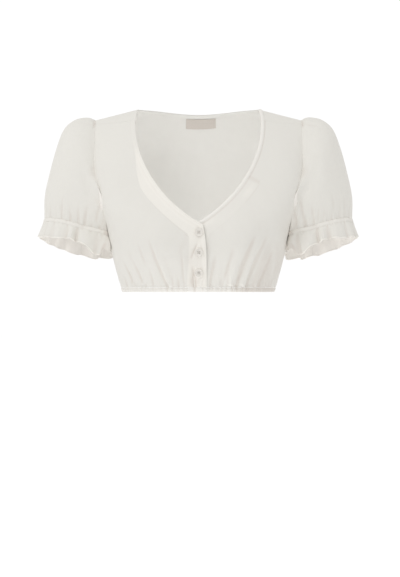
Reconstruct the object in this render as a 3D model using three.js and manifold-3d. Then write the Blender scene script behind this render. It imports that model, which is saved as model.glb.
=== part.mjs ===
// A cropped dirndl blouse of white cotton with puff sleeves, filled out as it is worn and open inside.
// Frame: the origin is midway between the two shoulder lines, +Z is up, -Y is the front and +X the blouse's
// left. Lengths are millimetres, angles are radians.
import * as THREE from "three";
import Module from "manifold-3d";

// Cloth and seams
const CLOTH = 1.2;
const FACING_CLOTH = 0.8;
const SEAM_GAP = 0.3;
const CASING_CLOTH = 2.4;

// Heights of the body's own lines
const HEM_Z = -318;
const CASING_HEIGHT = 8;
const PANEL_Z = HEM_Z + CASING_HEIGHT;
const ARMPIT_Z = -176;

// Torso sections: half width, depth before and behind the shoulder line, and how square the section is
// (2 is an ellipse). The two cups are added to the front depth.
const TORSO = [
  { z: -318, width: 136, front: 92, back: 84, square: 2.1 },
  { z: -280, width: 147, front: 106, back: 92, square: 2.15 },
  { z: -240, width: 157, front: 117, back: 98, square: 2.5 },
  { z: -200, width: 164.5, front: 119, back: 102, square: 2.9 },
  { z: -176, width: 171, front: 115, back: 103, square: 3.2 },
  { z: -120, width: 187, front: 101, back: 103, square: 3.4 },
  { z: -60, width: 197, front: 88, back: 97, square: 3.4 },
  { z: 25, width: 202, front: 80, back: 88, square: 3.2 },
];
const CUP = { x: 76, z: -222, reach: 13, wide: 50, tall: 56 };

// Shoulder line: it falls straight from the neck to the sleeve, and is rounded off towards front and back.
const SHOULDER = { neckX: 108.9, tipX: 184, neckZ: 9.8, tipZ: -9.5, bend: 1.7, rise: 90 };

// Front neckline from the shoulder line to the corner of the overlap, as a cubic curve in the front view.
const NECKLINE = [
  { x: SHOULDER.neckX, z: SHOULDER.neckZ },
  { x: 125.8, z: -75.3 },
  { x: 64, z: -164.7 },
  { x: -7.6, z: -200 },
];
// The back neck dips below the shoulder line, flat in its middle.
const BACK_NECK = { dip: 19.4, bow: 2.2, share: 0.7 };

// The right front laps over the left by this much past the centre, and the left steps back behind it.
const OVERLAP = 14.5;
const LAP_STEP = 3.4;
const LAP_FADE = 50;

// The back is cut on over the shoulder: its seam with the front lies this share of the neckline, and of the
// armhole, before the shoulder line.
const SHOULDER_SEAM = { neck: 0.088, armhole: 0.15, gap: 0.0006 };

// Facings inside the fronts: width at the hem and at the neck, share of the panel's columns they take, and
// the armhole step they end at.
const FACING = { placket: 34.2, neck: 27, share: 0.2, top: 7 };
// The binding of the neck, wider on the back, where it starts this far inside the edge.
const BINDING = { width: 5.5, back: 8.5, cloth: 0.8, edge: 0.6 };
const LABEL = { width: 54, height: 21, cloth: 0.8, drop: 9.8 };
const BUTTON = { radius: 7.6, rim: 1.2, thickness: 2.8, dish: 1, hole: 0.9, holeAt: 1.6, lift: 0.5 };
const BUTTON_SEGMENTS = 20;
const BUTTON_X = -0.8;
const BUTTON_ZS = [-214, -248.5, -284];

// Gathers over the underbust elastic, one row for each fold, counted from the placket to the side seam.
const RIGHT_FOLDS = [
  { depth: 0, length: 40 },
  { depth: 0, length: 40 },
  { depth: 1.2, length: 60 },
  { depth: 2.2, length: 95 },
  { depth: 1.2, length: 60 },
  { depth: 2.4, length: 85 },
  { depth: 1.8, length: 70 },
  { depth: 2.4, length: 90 },
  { depth: 1.8, length: 70 },
  { depth: 1.4, length: 55 },
];
const LEFT_FOLDS = [
  { depth: 0, length: 40 },
  { depth: 0.4, length: 50 },
  { depth: 2.4, length: 60 },
  { depth: 2.8, length: 75 },
  { depth: 3.2, length: 100 },
  { depth: 2.8, length: 80 },
  { depth: 3.4, length: 105 },
  { depth: 3.0, length: 85 },
  { depth: 2.6, length: 95 },
  { depth: 1.8, length: 65 },
];
const BACK_FOLD_COUNT = 20;

// A fold rises from its depth at the casing within a share of its length. Folds fan outward up to the
// bust, and the casing presses them nearly flat.
const FOLD_AT_CASING = 0.42;
const FOLD_SWELL = 0.2;
const FOLD_FAN = 0.075;
const CASING_PRESS = 0.55;

// Sleeve sections from the armhole at v = 0 to the cuff at 1: the top and under ends of each in the front
// view, and its half depth front to back. The sections turn from upright to nearly level.
const SLEEVE = [
  { v: 0, topX: 184.5, topZ: -9.5, underX: 171, underZ: -176, depth: 55 },
  { v: 0.12, topX: 200, topZ: -4.8, underX: 171.3, underZ: -183, depth: 60 },
  { v: 0.26, topX: 222, topZ: -9, underX: 169.7, underZ: -190, depth: 65 },
  { v: 0.4, topX: 241.5, topZ: -26, underX: 168, underZ: -197, depth: 67 },
  { v: 0.55, topX: 255, topZ: -60, underX: 166.4, underZ: -204, depth: 67 },
  { v: 0.7, topX: 266.5, topZ: -103, underX: 165.2, underZ: -210, depth: 64 },
  { v: 0.85, topX: 276, topZ: -148, underX: 164.2, underZ: -216, depth: 57 },
  { v: 1, topX: 276, topZ: -188, underX: 163.3, underZ: -222, depth: 47 },
];
const SLEEVE_SQUARE = { armhole: 2.2, cuff: 2 };

// Under the arm the sleeve is squarer and lies against the body, up to this angle from its under end.
const HUG = { square: 1.2, reach: 3.7, over: 1.3 };

const ARMHOLE_STEPS = 14;
const ARMHOLE_BLEND = 0.45;
const CUFF_TILT = THREE.MathUtils.degToRad(13);
const SLEEVE_GATHERS = 14;
const HEAD_PLEAT = { depth: 2.2, reach: 0.24, spread: 0.29 };
const CUFF_FOLD = { depth: 2.6, start: 0.5, pressed: 0.5 };
const CUFF = { height: 6.5, drop: 0.7, cloth: 2.2, ripple: 0.6 };
const FRILL = { length: 26, outerFlare: 4, innerFlare: 7, bulge: 4.5, hang: 0.4 };
const FRILL_WAVE = { outer: 2.4, inner: 6, uneven: 0.3 };

// Cells across a panel's upper rows and round the cuff end of a sleeve
const FRONT_CELLS = 10;
const BACK_CELLS = 20;
const CUFF_CELLS = 56;

const WHITE = { cloth: 0xeceae4, band: 0xefede8, facing: 0xf2efe9, button: 0xf4f2ee, label: 0xddd5cd };

const manifold = await Module();
manifold.setup();
const { Manifold } = manifold;

const clamp = (x, low, high) => Math.min(high, Math.max(low, x));
const mix = (a, b, t) => a + (b - a) * t;
const smooth = (x) => {
  const t = clamp(x, 0, 1);
  return t * t * (3 - 2 * t);
};

// The value of a table's column at a key, on a smooth curve through its rows.
function tableAt(table, key, at, column) {
  const last = table.length - 1;
  let i = 0;
  while (i < last - 1 && at > table[i + 1][key]) i++;
  const slope = (k) => {
    const a = table[Math.max(0, k - 1)];
    const b = table[Math.min(last, k + 1)];
    return (b[column] - a[column]) / (b[key] - a[key]);
  };
  const [from, to] = [table[i], table[i + 1]];
  const span = to[key] - from[key];
  const t = clamp((at - from[key]) / span, 0, 1);
  const [t2, t3] = [t * t, t * t * t];
  return (
    (2 * t3 - 3 * t2 + 1) * from[column] +
    (t3 - 2 * t2 + t) * span * slope(i) +
    (3 * t2 - 2 * t3) * to[column] +
    (t3 - t2) * span * slope(i + 1)
  );
}

// Height of the shoulder line at a distance from the centre. Between the two it is the crest that front
// and back would share.
function shoulderZ(x) {
  const { neckX, tipX, neckZ, tipZ } = SHOULDER;
  const fall = (neckZ - tipZ) / (tipX - neckX);
  const out = Math.abs(x);
  if (out > neckX) return neckZ - fall * (out - neckX);
  return neckZ + (fall * (neckX * neckX - out * out)) / (2 * neckX);
}

// How much of its depth the torso keeps at a height: all of it low down, none at the shoulder line.
function crest(z, x) {
  const s = clamp(1 + (z - shoulderZ(x)) / SHOULDER.rise, 0, 1);
  return Math.pow(1 - Math.pow(s, SHOULDER.bend), 1 / SHOULDER.bend);
}

// How far the bust stands out.
function cups(x, z) {
  const across = (Math.abs(x) - CUP.x) / CUP.wide;
  const up = (z - CUP.z) / CUP.tall;
  return CUP.reach * Math.exp(-across * across - up * up);
}

// The torso's surface at an angle from the centre plane, at a height, on the front (facing -1) or back
// (+1). push moves the point out from the surface.
function torso(angle, z, facing, push = 0) {
  const width = tableAt(TORSO, "z", z, "width");
  const depth = tableAt(TORSO, "z", z, facing < 0 ? "front" : "back");
  const square = tableAt(TORSO, "z", z, "square");
  const [sin, cos] = [Math.sin(angle), Math.cos(angle)];
  const reach = Math.pow(
    Math.pow(Math.abs(sin) / width, square) + Math.pow(Math.abs(cos) / depth, square),
    -1 / square,
  );
  const x = reach * sin;
  const bust = facing < 0 ? cups(x, z) * Math.max(0, cos) : 0;
  const y = (reach * cos + bust) * crest(z, x) + SEAM_GAP / 2;
  return new THREE.Vector3(x + push * sin, facing * (y + push * cos), z);
}

// The angle at which the torso has a given distance from the centre plane.
function angleAt(x, z, facing) {
  const width = tableAt(TORSO, "z", z, "width");
  const depth = tableAt(TORSO, "z", z, facing < 0 ? "front" : "back");
  const square = tableAt(TORSO, "z", z, "square");
  const share = clamp(Math.abs(x) / width, 0, 1);
  return Math.atan2(x, depth * Math.pow(1 - Math.pow(share, square), 1 / square));
}

// The side seam's angle, half a gap short of square to the centre plane.
const SIDE_ANGLE = Math.PI / 2 - SEAM_GAP / 2 / TORSO[0].width;

// The armhole seam, from the armpit at 0 over the shoulder's end at 1: an oval in side view up to its
// widest, then straight up at the shoulder's width.
function armhole(t, facing) {
  const middle = (SHOULDER.tipZ + ARMPIT_Z) / 2;
  const turn = (t - 0.5) * Math.PI;
  const z = middle + ((SHOULDER.tipZ - ARMPIT_Z) / 2) * Math.sin(turn);
  const widest = angleAt(SHOULDER.tipX, middle, facing);
  if (turn >= 0) return { angle: angleAt(SHOULDER.tipX, z, facing), z };
  return { angle: mix(SIDE_ANGLE, widest, Math.pow(Math.max(0, Math.cos(turn)), 0.9)), z };
}

// The neckline in the front view, from the overlap's corner at 0 to the shoulder line at 1.
function neckline(t) {
  const [a, b, c, d] = NECKLINE;
  const s = 1 - t;
  const curve = (key) =>
    s * s * s * d[key] + 3 * s * s * t * c[key] + 3 * s * t * t * b[key] + t * t * t * a[key];
  return { x: curve("x"), z: curve("z") };
}

// Where the front panel's inner edge is: up the overlap for t from 0 to 1, then along the neckline to 2.
function frontInnerEdge(t) {
  if (t >= 1) return neckline(t - 1);
  const corner = NECKLINE[3];
  return { x: mix(-OVERLAP, corner.x, Math.pow(t, 4)), z: mix(PANEL_Z, corner.z, t) };
}

// The outer edge of a front or back sheet: up the side seam to t = 1, then along the armhole to the
// shoulder line at 2. On the front it reaches the shoulder seam together with the neckline.
function outerEdge(t, facing) {
  if (t < 1) return { angle: SIDE_ANGLE, z: mix(PANEL_Z, ARMPIT_Z, t) };
  if (facing > 0) return armhole(t - 1, facing);
  const { neck, armhole: end } = SHOULDER_SEAM;
  if (t < 2 - neck) return armhole(((t - 1) * (1 - end)) / (1 - neck), facing);
  return armhole(mix(1 - end, 1, (t - 2 + neck) / neck), facing);
}

// How far a gather stands out, for a fold's number and place (whole at a trough) and a height over the
// casing.
function gather(place, height, folds) {
  const at = clamp(place - 0.5, 0, folds.length - 1);
  const i = Math.min(Math.floor(at), folds.length - 2);
  const column = (key) => mix(folds[i][key], folds[i + 1][key], at - i);
  const q = height / column("length");
  const rise = mix(FOLD_AT_CASING, 1, smooth(q / FOLD_SWELL));
  return -Math.cos(2 * Math.PI * place) * column("depth") * rise * (1 - smooth(q));
}

const BACK_FOLDS = Array.from({ length: BACK_FOLD_COUNT }, (_, i) => ({
  depth: 2.3 + 0.9 * Math.sin(2.4 * i + 0.6),
  length: 72 + 26 * Math.sin(1.7 * i + 1.1),
}));

// How far the under front lies behind the upper one near the overlap.
function lapStep(x) {
  return LAP_STEP * (1 - smooth((x - OVERLAP) / LAP_FADE));
}

// The way across a front's facing in the front view: level at the hem, square to the neckline, mitred at
// the overlap's corner and along the shoulder line at the top.
function facingWay(t) {
  const step = 1e-3;
  const at = clamp(t - 1, 0, 1 - step);
  const [a, b] = [neckline(at), neckline(at + step)];
  const square = Math.atan2(a.x - b.x, b.z - a.z);
  const fall = Math.atan2(SHOULDER.tipZ - SHOULDER.neckZ, SHOULDER.tipX - SHOULDER.neckX);
  const turned = mix(square / 2, square, smooth((t - 1) / 0.22));
  const below = (square / 2) * smooth((t - 0.75) / 0.25);
  const slant = t < 1 ? below : mix(turned, fall, smooth((t - 1.8) / 0.2));
  const width = mix(FACING.placket, FACING.neck, smooth(t)) / Math.cos(t < 1 ? slant : square - turned);
  return { x: width * Math.cos(slant), z: width * Math.sin(slant) };
}

// A place between the inner edge of a front and the edge of its facing, its share measured over the cloth.
function facingPlace(share, t) {
  const edge = frontInnerEdge(t);
  const way = facingWay(t);
  const at = (k) => {
    const [x, z] = [edge.x + k * way.x, edge.z + k * way.z];
    return { angle: angleAt(x, z, -1), z };
  };
  const [from, to] = [at(0), at(1)];
  const over = torso(from.angle, from.z, -1).distanceTo(torso(to.angle, to.z, -1));
  return at((share * Math.hypot(way.x, way.z)) / over);
}

// The place on the torso that keeps its height below the shoulder line between two other places.
function between(from, to, share, t, facing) {
  const under = (place) => place.z - shoulderZ(torso(place.angle, place.z, facing).x);
  const angle = mix(from.angle, to.angle, share);
  const level = mix(from.z, to.z, share);
  const below = mix(under(from), under(to), share);
  let z = level;
  for (let pass = 0; pass < 5; pass++) {
    z = mix(level, shoulderZ(torso(angle, z, facing).x) + below, smooth(t - 1));
  }
  return { angle, z };
}

// Gathers fan outward from the casing to the bust: a fold's share across the panel at t.
function fanned(share, t) {
  return share + FOLD_FAN * Math.sin(Math.PI * share) * smooth(t / 0.7) * (1 - smooth((t - 0.8) / 1.1));
}

// Place of a front panel: u from the inner edge over the facing to the side, t from the casing to the
// armpit at 1 and the shoulder at 2.
function frontPlace(u, t) {
  if (u <= FACING.share) return facingPlace(u / FACING.share, t);
  const rest = (u - FACING.share) / (1 - FACING.share);
  return between(facingPlace(1, t), outerEdge(t, -1), fanned(rest, t), t, -1);
}

// Point of a front panel. side is -1 for the wearer's right front, which laps over, and +1 for the left.
function frontPoint(u, t, side) {
  const place = frontPlace(u, t);
  const folds = side < 0 ? RIGHT_FOLDS : LEFT_FOLDS;
  const lapped = side > 0 ? lapStep(torso(place.angle, place.z, -1).x) : 0;
  const push = gather(u * folds.length, place.z - PANEL_Z, folds) - lapped;
  const point = torso(place.angle, place.z, -1, push);
  point.x *= side;
  return point;
}

const NECK_ANGLE_SHARE =
  angleAt(SHOULDER.neckX, SHOULDER.neckZ, 1) / angleAt(SHOULDER.tipX, SHOULDER.tipZ, 1);

// Point of the back panel: u from -1 at the right side to +1, with the neck between -0.7 and 0.7, and t
// from the casing to the shoulder line at 2 and on down the front.
function backPoint(u, t) {
  const across = Math.abs(u);
  const pastNeck = Math.max(0, (across - BACK_NECK.share) / (1 - BACK_NECK.share));
  if (t > 2) return frontPoint(pastNeck, 4 - t, Math.sign(u));
  const inNeck = clamp(across / BACK_NECK.share, 0, 1);
  const outer = outerEdge(t, 1);
  const rise = shoulderZ(0) - shoulderZ(torso(outer.angle, outer.z, 1).x);
  const centre = { angle: 0, z: outer.z + rise * smooth(t - 1) };
  const place = between(centre, outer, mix(inNeck * NECK_ANGLE_SHARE, 1, pastNeck), t, 1);
  place.z -= BACK_NECK.dip * (1 - Math.pow(inNeck, BACK_NECK.bow)) * Math.pow(smooth(t - 1), 2);
  const push = gather(((u + 1) / 2) * BACK_FOLDS.length, place.z - PANEL_Z, BACK_FOLDS);
  return torso(Math.sign(u) * place.angle, place.z, 1, push);
}

// The outward direction of a sheet at a point, from its two slopes.
function sheetNormal(place, u, t, last, outward) {
  const step = 1e-3;
  const along = place(u + step, t).sub(place(u - step, t));
  const across = place(u, Math.min(last, t + step)).sub(place(u, Math.max(0, t - step)));
  return along.cross(across).normalize().multiplyScalar(outward);
}

// A closed wall round a sheet. rows lists where each row is and how many cells it has across. The next row
// has as many, half or double, and its only tells which of them are kept. push moves the wall off the
// sheet.
function wall({ place, rows, cloth, push = 0, ring = false, range = [0, 1], outward = 1 }) {
  const points = [];
  const starts = [];
  const last = Math.max(rows[0].at, rows[rows.length - 1].at);
  for (const { at, cells } of rows) {
    starts.push(points.length / 2);
    for (let i = 0; i < (ring ? cells : cells + 1); i++) {
      const u = mix(range[0], range[1], i / cells);
      const middle = place(u, at);
      const normal = sheetNormal(place, u, at, last, outward);
      points.push(middle.clone().addScaledVector(normal, push + cloth / 2));
      points.push(middle.clone().addScaledVector(normal, push - cloth / 2));
    }
  }
  const id = (row, i) => starts[row] + (ring ? i % rows[row].cells : i);
  const sheet = [];
  for (let j = 0; j + 1 < rows.length; j++) {
    const [low, high] = [rows[j].cells, rows[j + 1].cells];
    const keeps = rows[j + 1].only ?? (() => true);
    for (let k = 0; k < Math.min(low, high); k++) {
      if (!keeps(k)) continue;
      if (low === high) {
        sheet.push([id(j, k), id(j, k + 1), id(j + 1, k + 1)]);
        sheet.push([id(j, k), id(j + 1, k + 1), id(j + 1, k)]);
      } else if (low > high) {
        sheet.push([id(j, 2 * k), id(j, 2 * k + 1), id(j + 1, k)]);
        sheet.push([id(j, 2 * k + 1), id(j + 1, k + 1), id(j + 1, k)]);
        sheet.push([id(j, 2 * k + 1), id(j, 2 * k + 2), id(j + 1, k + 1)]);
      } else {
        sheet.push([id(j, k), id(j, k + 1), id(j + 1, 2 * k + 1)]);
        sheet.push([id(j, k), id(j + 1, 2 * k + 1), id(j + 1, 2 * k)]);
        sheet.push([id(j, k + 1), id(j + 1, 2 * k + 2), id(j + 1, 2 * k + 1)]);
      }
    }
  }
  return solidFrom(points, closed(sheet));
}

// Both sides of a sheet's triangles, joined along the edges that only one of them has. Point n of the
// sheet is 2n on its outer side and 2n + 1 on its inner side.
function closed(sheet) {
  const faces = [];
  const free = new Map();
  for (const [a, b, c] of sheet) {
    faces.push(2 * a, 2 * b, 2 * c, 2 * a + 1, 2 * c + 1, 2 * b + 1);
    for (const [from, to] of [[a, b], [b, c], [c, a]]) {
      if (!free.delete(to + "-" + from)) free.set(from + "-" + to, [from, to]);
    }
  }
  for (const [a, b] of free.values()) {
    faces.push(2 * b, 2 * a, 2 * a + 1, 2 * b, 2 * a + 1, 2 * b + 1);
  }
  return faces;
}

// A geometry whose faces point out, whichever way round they were listed.
function solidFrom(points, faces) {
  let volume = 0;
  for (let i = 0; i < faces.length; i += 3) {
    const [a, b, c] = [points[faces[i]], points[faces[i + 1]], points[faces[i + 2]]];
    volume += a.dot(b.clone().cross(c));
  }
  if (volume < 0) faces.reverse();
  const numbers = points.flatMap((p) => p.toArray());
  const geometry = new THREE.BufferGeometry();
  geometry.setAttribute("position", new THREE.Float32BufferAttribute(numbers, 3));
  geometry.setIndex(faces);
  geometry.computeVertexNormals();
  return geometry;
}

const finish = (colour, roughness = 0.9) =>
  new THREE.MeshStandardMaterial({ color: colour, roughness, metalness: 0 });

function named(name, geometry, material) {
  const mesh = new THREE.Mesh(geometry, material);
  mesh.name = name;
  return mesh;
}

// Rows of a body panel up to its neck: fine over the gathers, coarser above them, one for each armhole
// step.
function panelRows(cells) {
  const rows = [
    { at: SEAM_GAP / (ARMPIT_Z - PANEL_Z), cells: 4 * cells },
    { at: 0.1, cells: 4 * cells },
    { at: 0.24, cells: 4 * cells },
    { at: 0.42, cells: 4 * cells },
    { at: 0.62, cells: 2 * cells },
    { at: 0.8, cells: 2 * cells },
    { at: 1, cells: 2 * cells },
  ];
  for (let at = 1 + 1 / ARMHOLE_STEPS; at < 2 - SHOULDER_SEAM.neck; at += 1 / ARMHOLE_STEPS) {
    rows.push({ at, cells });
  }
  return rows;
}

// The rows near the shoulder line are close together, where the cloth turns over it.
const NECK_ROWS = [1.932, 1.958, 1.98, 1.995];

function frontRows() {
  const seam = 2 - SHOULDER_SEAM.neck - SHOULDER_SEAM.gap;
  return [...panelRows(FRONT_CELLS), { at: seam, cells: FRONT_CELLS }];
}

function backRows() {
  const cells = BACK_CELLS;
  const neckCells = cells * BACK_NECK.share;
  const only = (k) => Math.abs(k + 0.5 - cells / 2) > neckCells / 2;
  const over = [...NECK_ROWS].reverse().map((at) => ({ at: 4 - at, cells, only }));
  return [
    ...panelRows(cells),
    ...NECK_ROWS.map((at) => ({ at, cells })),
    { at: 2, cells },
    ...over,
    { at: 2 + SHOULDER_SEAM.neck - SHOULDER_SEAM.gap, cells, only },
  ];
}

// A point on the flat facets that a panel has between its columns and rows, for what is laid on it.
function onFacets(place, rows, u, t) {
  const j = clamp(rows.findIndex(({ at }) => at > t) - 1, 0, rows.length - 2);
  const [low, high] = [rows[j], rows[j + 1]];
  const across = ({ at, cells }) => {
    const columns = place === backPoint ? cells / 2 : cells;
    const k = Math.floor(u * columns);
    return place(k / columns, at).lerp(place((k + 1) / columns, at), u * columns - k);
  };
  return across(low).lerp(across(high), (t - low.at) / (high.at - low.at));
}

function frontPanel(side) {
  const place = (u, t) => frontPoint(u, t, side);
  const geometry = wall({ place, rows: frontRows(), cloth: CLOTH, outward: side });
  return named(side < 0 ? "front_right" : "front_left", geometry, finish(WHITE.cloth));
}

function backPanel() {
  const geometry = wall({ place: backPoint, rows: backRows(), cloth: CLOTH, range: [-1, 1], outward: -1 });
  return named("back", geometry, finish(WHITE.cloth));
}

// The facing inside a front, on the panel's own columns, so that it follows every facet.
function frontFacing(side) {
  const place = (u, t) => frontPoint(u, t, side);
  const rows = panelRows(FRONT_CELLS)
    .filter(({ at }) => at < 1.001 + FACING.top / ARMHOLE_STEPS)
    .map(({ at, cells }) => ({ at, cells: cells * FACING.share }));
  const push = -(CLOTH + FACING_CLOTH) / 2 - SEAM_GAP;
  const geometry = wall({ place, rows, cloth: FACING_CLOTH, push, range: [0, FACING.share], outward: side });
  return named(side < 0 ? "facing_right" : "facing_left", geometry, finish(WHITE.facing));
}

// The narrow binding of a front's neck edge, as far as the shoulder line. On the left it is rolled outward
// and shows from the overlap up; on the right it is turned in, from the facing's end up.
function frontBinding(side) {
  const cells = FRONT_CELLS;
  const over = [2 - SHOULDER_SEAM.neck + SHOULDER_SEAM.gap, ...NECK_ROWS, 2];
  const panel = [...frontRows(), ...over.map((at) => ({ at, cells }))];
  const place = (u, t) => onFacets((a, b) => frontPoint(a, b, side), panel, u, t);
  const start = 1 + (side < 0 ? FACING.top + 0.4 : 1) / ARMHOLE_STEPS;
  const ats = panel.map(({ at }) => at).filter((at) => at > start && at < 2);
  const rows = [start, ...ats].map((at) => ({ at, cells: 1 }));
  const push = side * ((CLOTH + BINDING.cloth) / 2 + 1.5 * SEAM_GAP);
  const range = [0, (BINDING.width / FACING.neck) * FACING.share];
  const geometry = wall({ place, rows, cloth: BINDING.cloth, push, range, outward: side });
  return named(side < 0 ? "neck_binding_right" : "neck_binding_left", geometry, finish(WHITE.band));
}

// The back's t at a distance down the cloth from its neck edge.
function neckStart(u, distance) {
  const top = backPoint(u, 2);
  let [low, high] = [1.2, 2];
  for (let i = 0; i < 24; i++) {
    const middle = (low + high) / 2;
    if (backPoint(u, middle).distanceTo(top) > distance) low = middle;
    else high = middle;
  }
  return high;
}

// The narrow binding inside the back neck, on the panel's own columns.
function backBinding() {
  const { back, cloth, edge } = BINDING;
  const place = (u, t) => onFacets(backPoint, backRows(), u, neckStart(u, edge + back * t));
  const rows = [0, 0.5, 1].map((at) => ({ at, cells: BACK_CELLS * BACK_NECK.share }));
  const push = -(CLOTH + cloth) / 2 - SEAM_GAP;
  const range = [-BACK_NECK.share, BACK_NECK.share];
  const geometry = wall({ place, rows, cloth, push, range, outward: 1 });
  return named("neck_binding_back", geometry, finish(WHITE.band));
}

function label() {
  const { width, height, cloth, drop } = LABEL;
  const place = (u, t) => onFacets(backPoint, backRows(), u, neckStart(u, drop + height * t));
  const end = (width / 2 / backPoint(0.2, 1.95).x) * 0.2;
  const rows = [0, 0.5, 1].map((at) => ({ at, cells: 4 }));
  const push = -(CLOTH + cloth) / 2 - 2 * SEAM_GAP;
  const geometry = wall({ place, rows, cloth, push, range: [-end, end], outward: 1 });
  return named("label", geometry, finish(WHITE.label));
}

// The casings run on down from the panels' lowest row.
function frontCasingPoint(u, share, side) {
  const { angle } = frontPlace(u, 0);
  const z = mix(HEM_Z, PANEL_Z - SEAM_GAP, share);
  const folds = side < 0 ? RIGHT_FOLDS : LEFT_FOLDS;
  const lapped = side > 0 ? lapStep(torso(angle, z, -1).x) : 0;
  const point = torso(angle, z, -1, gather(u * folds.length, 0, folds) * CASING_PRESS - lapped);
  point.x *= side;
  return point;
}

function backCasingPoint(u, share) {
  const z = mix(HEM_Z, PANEL_Z - SEAM_GAP, share);
  const push = gather(((u + 1) / 2) * BACK_FOLDS.length, 0, BACK_FOLDS) * CASING_PRESS;
  return torso(u * SIDE_ANGLE, z, 1, push);
}

function casing(name, place, range, cells, cloth) {
  const rows = [
    { at: 0, cells },
    { at: 1, cells },
  ];
  return named(name, wall({ place, rows, cloth, range }), finish(WHITE.band));
}

function hemCasings() {
  const gap = SEAM_GAP / 175;
  const right = (u, t) => frontCasingPoint(u, t, -1);
  const left = (u, t) => frontCasingPoint(u, t, 1);
  return [
    casing("placket_hem", right, [0, FACING.share - gap], 6, CASING_CLOTH - 0.6),
    casing("hem_casing_right", right, [FACING.share, 1], 32, CASING_CLOTH),
    casing("hem_casing_left", left, [0, 1], 40, CASING_CLOTH),
    casing("hem_casing_back", backCasingPoint, [-1, 1], 80, CASING_CLOTH),
  ];
}

// A place round the sleeve: u runs from the armpit up the front to the top at a half, and down the back.
function around(u) {
  const c = 2 * (((u % 1) + 1) % 1);
  const share = c <= 1 ? c : 2 - c;
  return { facing: c <= 1 ? -1 : 1, share, turn: share * Math.PI };
}

// The oval section of the sleeve at v, by the angle from its under end.
function sleeveOval(turn, facing, v) {
  const at = (column) => tableAt(SLEEVE, "v", v, column);
  const tilt = CUFF_TILT * smooth((v - 0.2) / 0.8);
  const level = (1 - Math.cos(turn)) / 2;
  const between = smooth(v / 0.2) * (1 - smooth((v - 0.7) / 0.3));
  const low = HUG.square * between * (1 - smooth((0.75 * turn) / HUG.over));
  const square = mix(SLEEVE_SQUARE.armhole, SLEEVE_SQUARE.cuff, v) + low;
  const hug = HUG.reach * between * Math.sin(Math.PI * clamp(turn / HUG.over, 0, 1));
  const y = facing * at("depth") * Math.pow(Math.abs(Math.sin(turn)), 2 / square);
  return new THREE.Vector3(
    mix(at("underX"), at("topX"), level) - hug,
    y * Math.cos(tilt),
    mix(at("underZ"), at("topZ"), level) - y * Math.sin(tilt),
  );
}

// The armhole seam's point, moved out so that the sleeve clears the body panel it is sewn to.
function sleeveSeam(share, facing) {
  const seam = armhole(share, facing);
  const point = torso(seam.angle, seam.z, facing);
  point.x += mix(2.1, 0.9, smooth(share * 2));
  point.z += mix(0.6, 0, smooth(share * 2));
  return point;
}

// Point of a sleeve: its section, held to the armhole at first, with pleats at the head and gathers at the
// cuff.
function sleevePoint(u, v, side) {
  const { facing, share, turn } = around(u);
  const hold = 1 - smooth(v / ARMHOLE_BLEND);
  const held = sleeveSeam(share, facing).sub(sleeveOval(turn, facing, 0)).multiplyScalar(hold);
  const point = sleeveOval(turn, facing, v).add(held);
  const middle = sleeveOval(0, 1, v).add(sleeveOval(Math.PI, 1, v)).multiplyScalar(0.5);
  const out = point.clone().sub(middle).normalize();
  const atHead = smooth(v / 0.05) * (1 - smooth(v / HEAD_PLEAT.reach));
  const atTop = 1 - smooth((1 - share) / HEAD_PLEAT.spread);
  const fold = smooth((v - CUFF_FOLD.start) / (1 - CUFF_FOLD.start)) * (1 - 0.45 * smooth((v - 0.93) / 0.07));
  const pressed = smooth(turn / CUFF_FOLD.pressed);
  const depth = HEAD_PLEAT.depth * atHead * atTop - CUFF_FOLD.depth * innerness(turn) * fold * pressed;
  point.addScaledVector(out, Math.cos(2 * Math.PI * SLEEVE_GATHERS * u) * depth);
  point.x *= side;
  return point;
}

// Gathers are deepest on the arm's inner side and shallow outside.
function innerness(turn) {
  return mix(0.55, 1.15, (1 + Math.cos(turn)) / 2);
}

// A place on the ring that ends the sleeve, with the directions out from it and down from it.
function cuffFrame(turn, facing) {
  const end = SLEEVE[SLEEVE.length - 1];
  const under = new THREE.Vector3(end.underX, 0, end.underZ);
  const top = new THREE.Vector3(end.topX, 0, end.topZ);
  const long = top.clone().sub(under).normalize();
  const short = new THREE.Vector3(0, Math.cos(CUFF_TILT), -Math.sin(CUFF_TILT));
  const down = short.clone().cross(long).normalize();
  const base = sleeveOval(turn, facing, 1);
  const radial = long
    .clone()
    .multiplyScalar(-Math.cos(turn) / (under.distanceTo(top) / 2))
    .addScaledVector(short, (facing * Math.sin(turn)) / end.depth)
    .normalize();
  return { base, radial, down };
}

function cuffPoint(u, share, side) {
  const { facing, turn } = around(u);
  const { base, radial, down } = cuffFrame(turn, facing);
  const wave = -Math.cos(2 * Math.PI * SLEEVE_GATHERS * u) * CUFF.ripple;
  base.addScaledVector(down, CUFF.drop + CUFF.height * share).addScaledVector(radial, wave);
  base.x *= side;
  return base;
}

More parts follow.
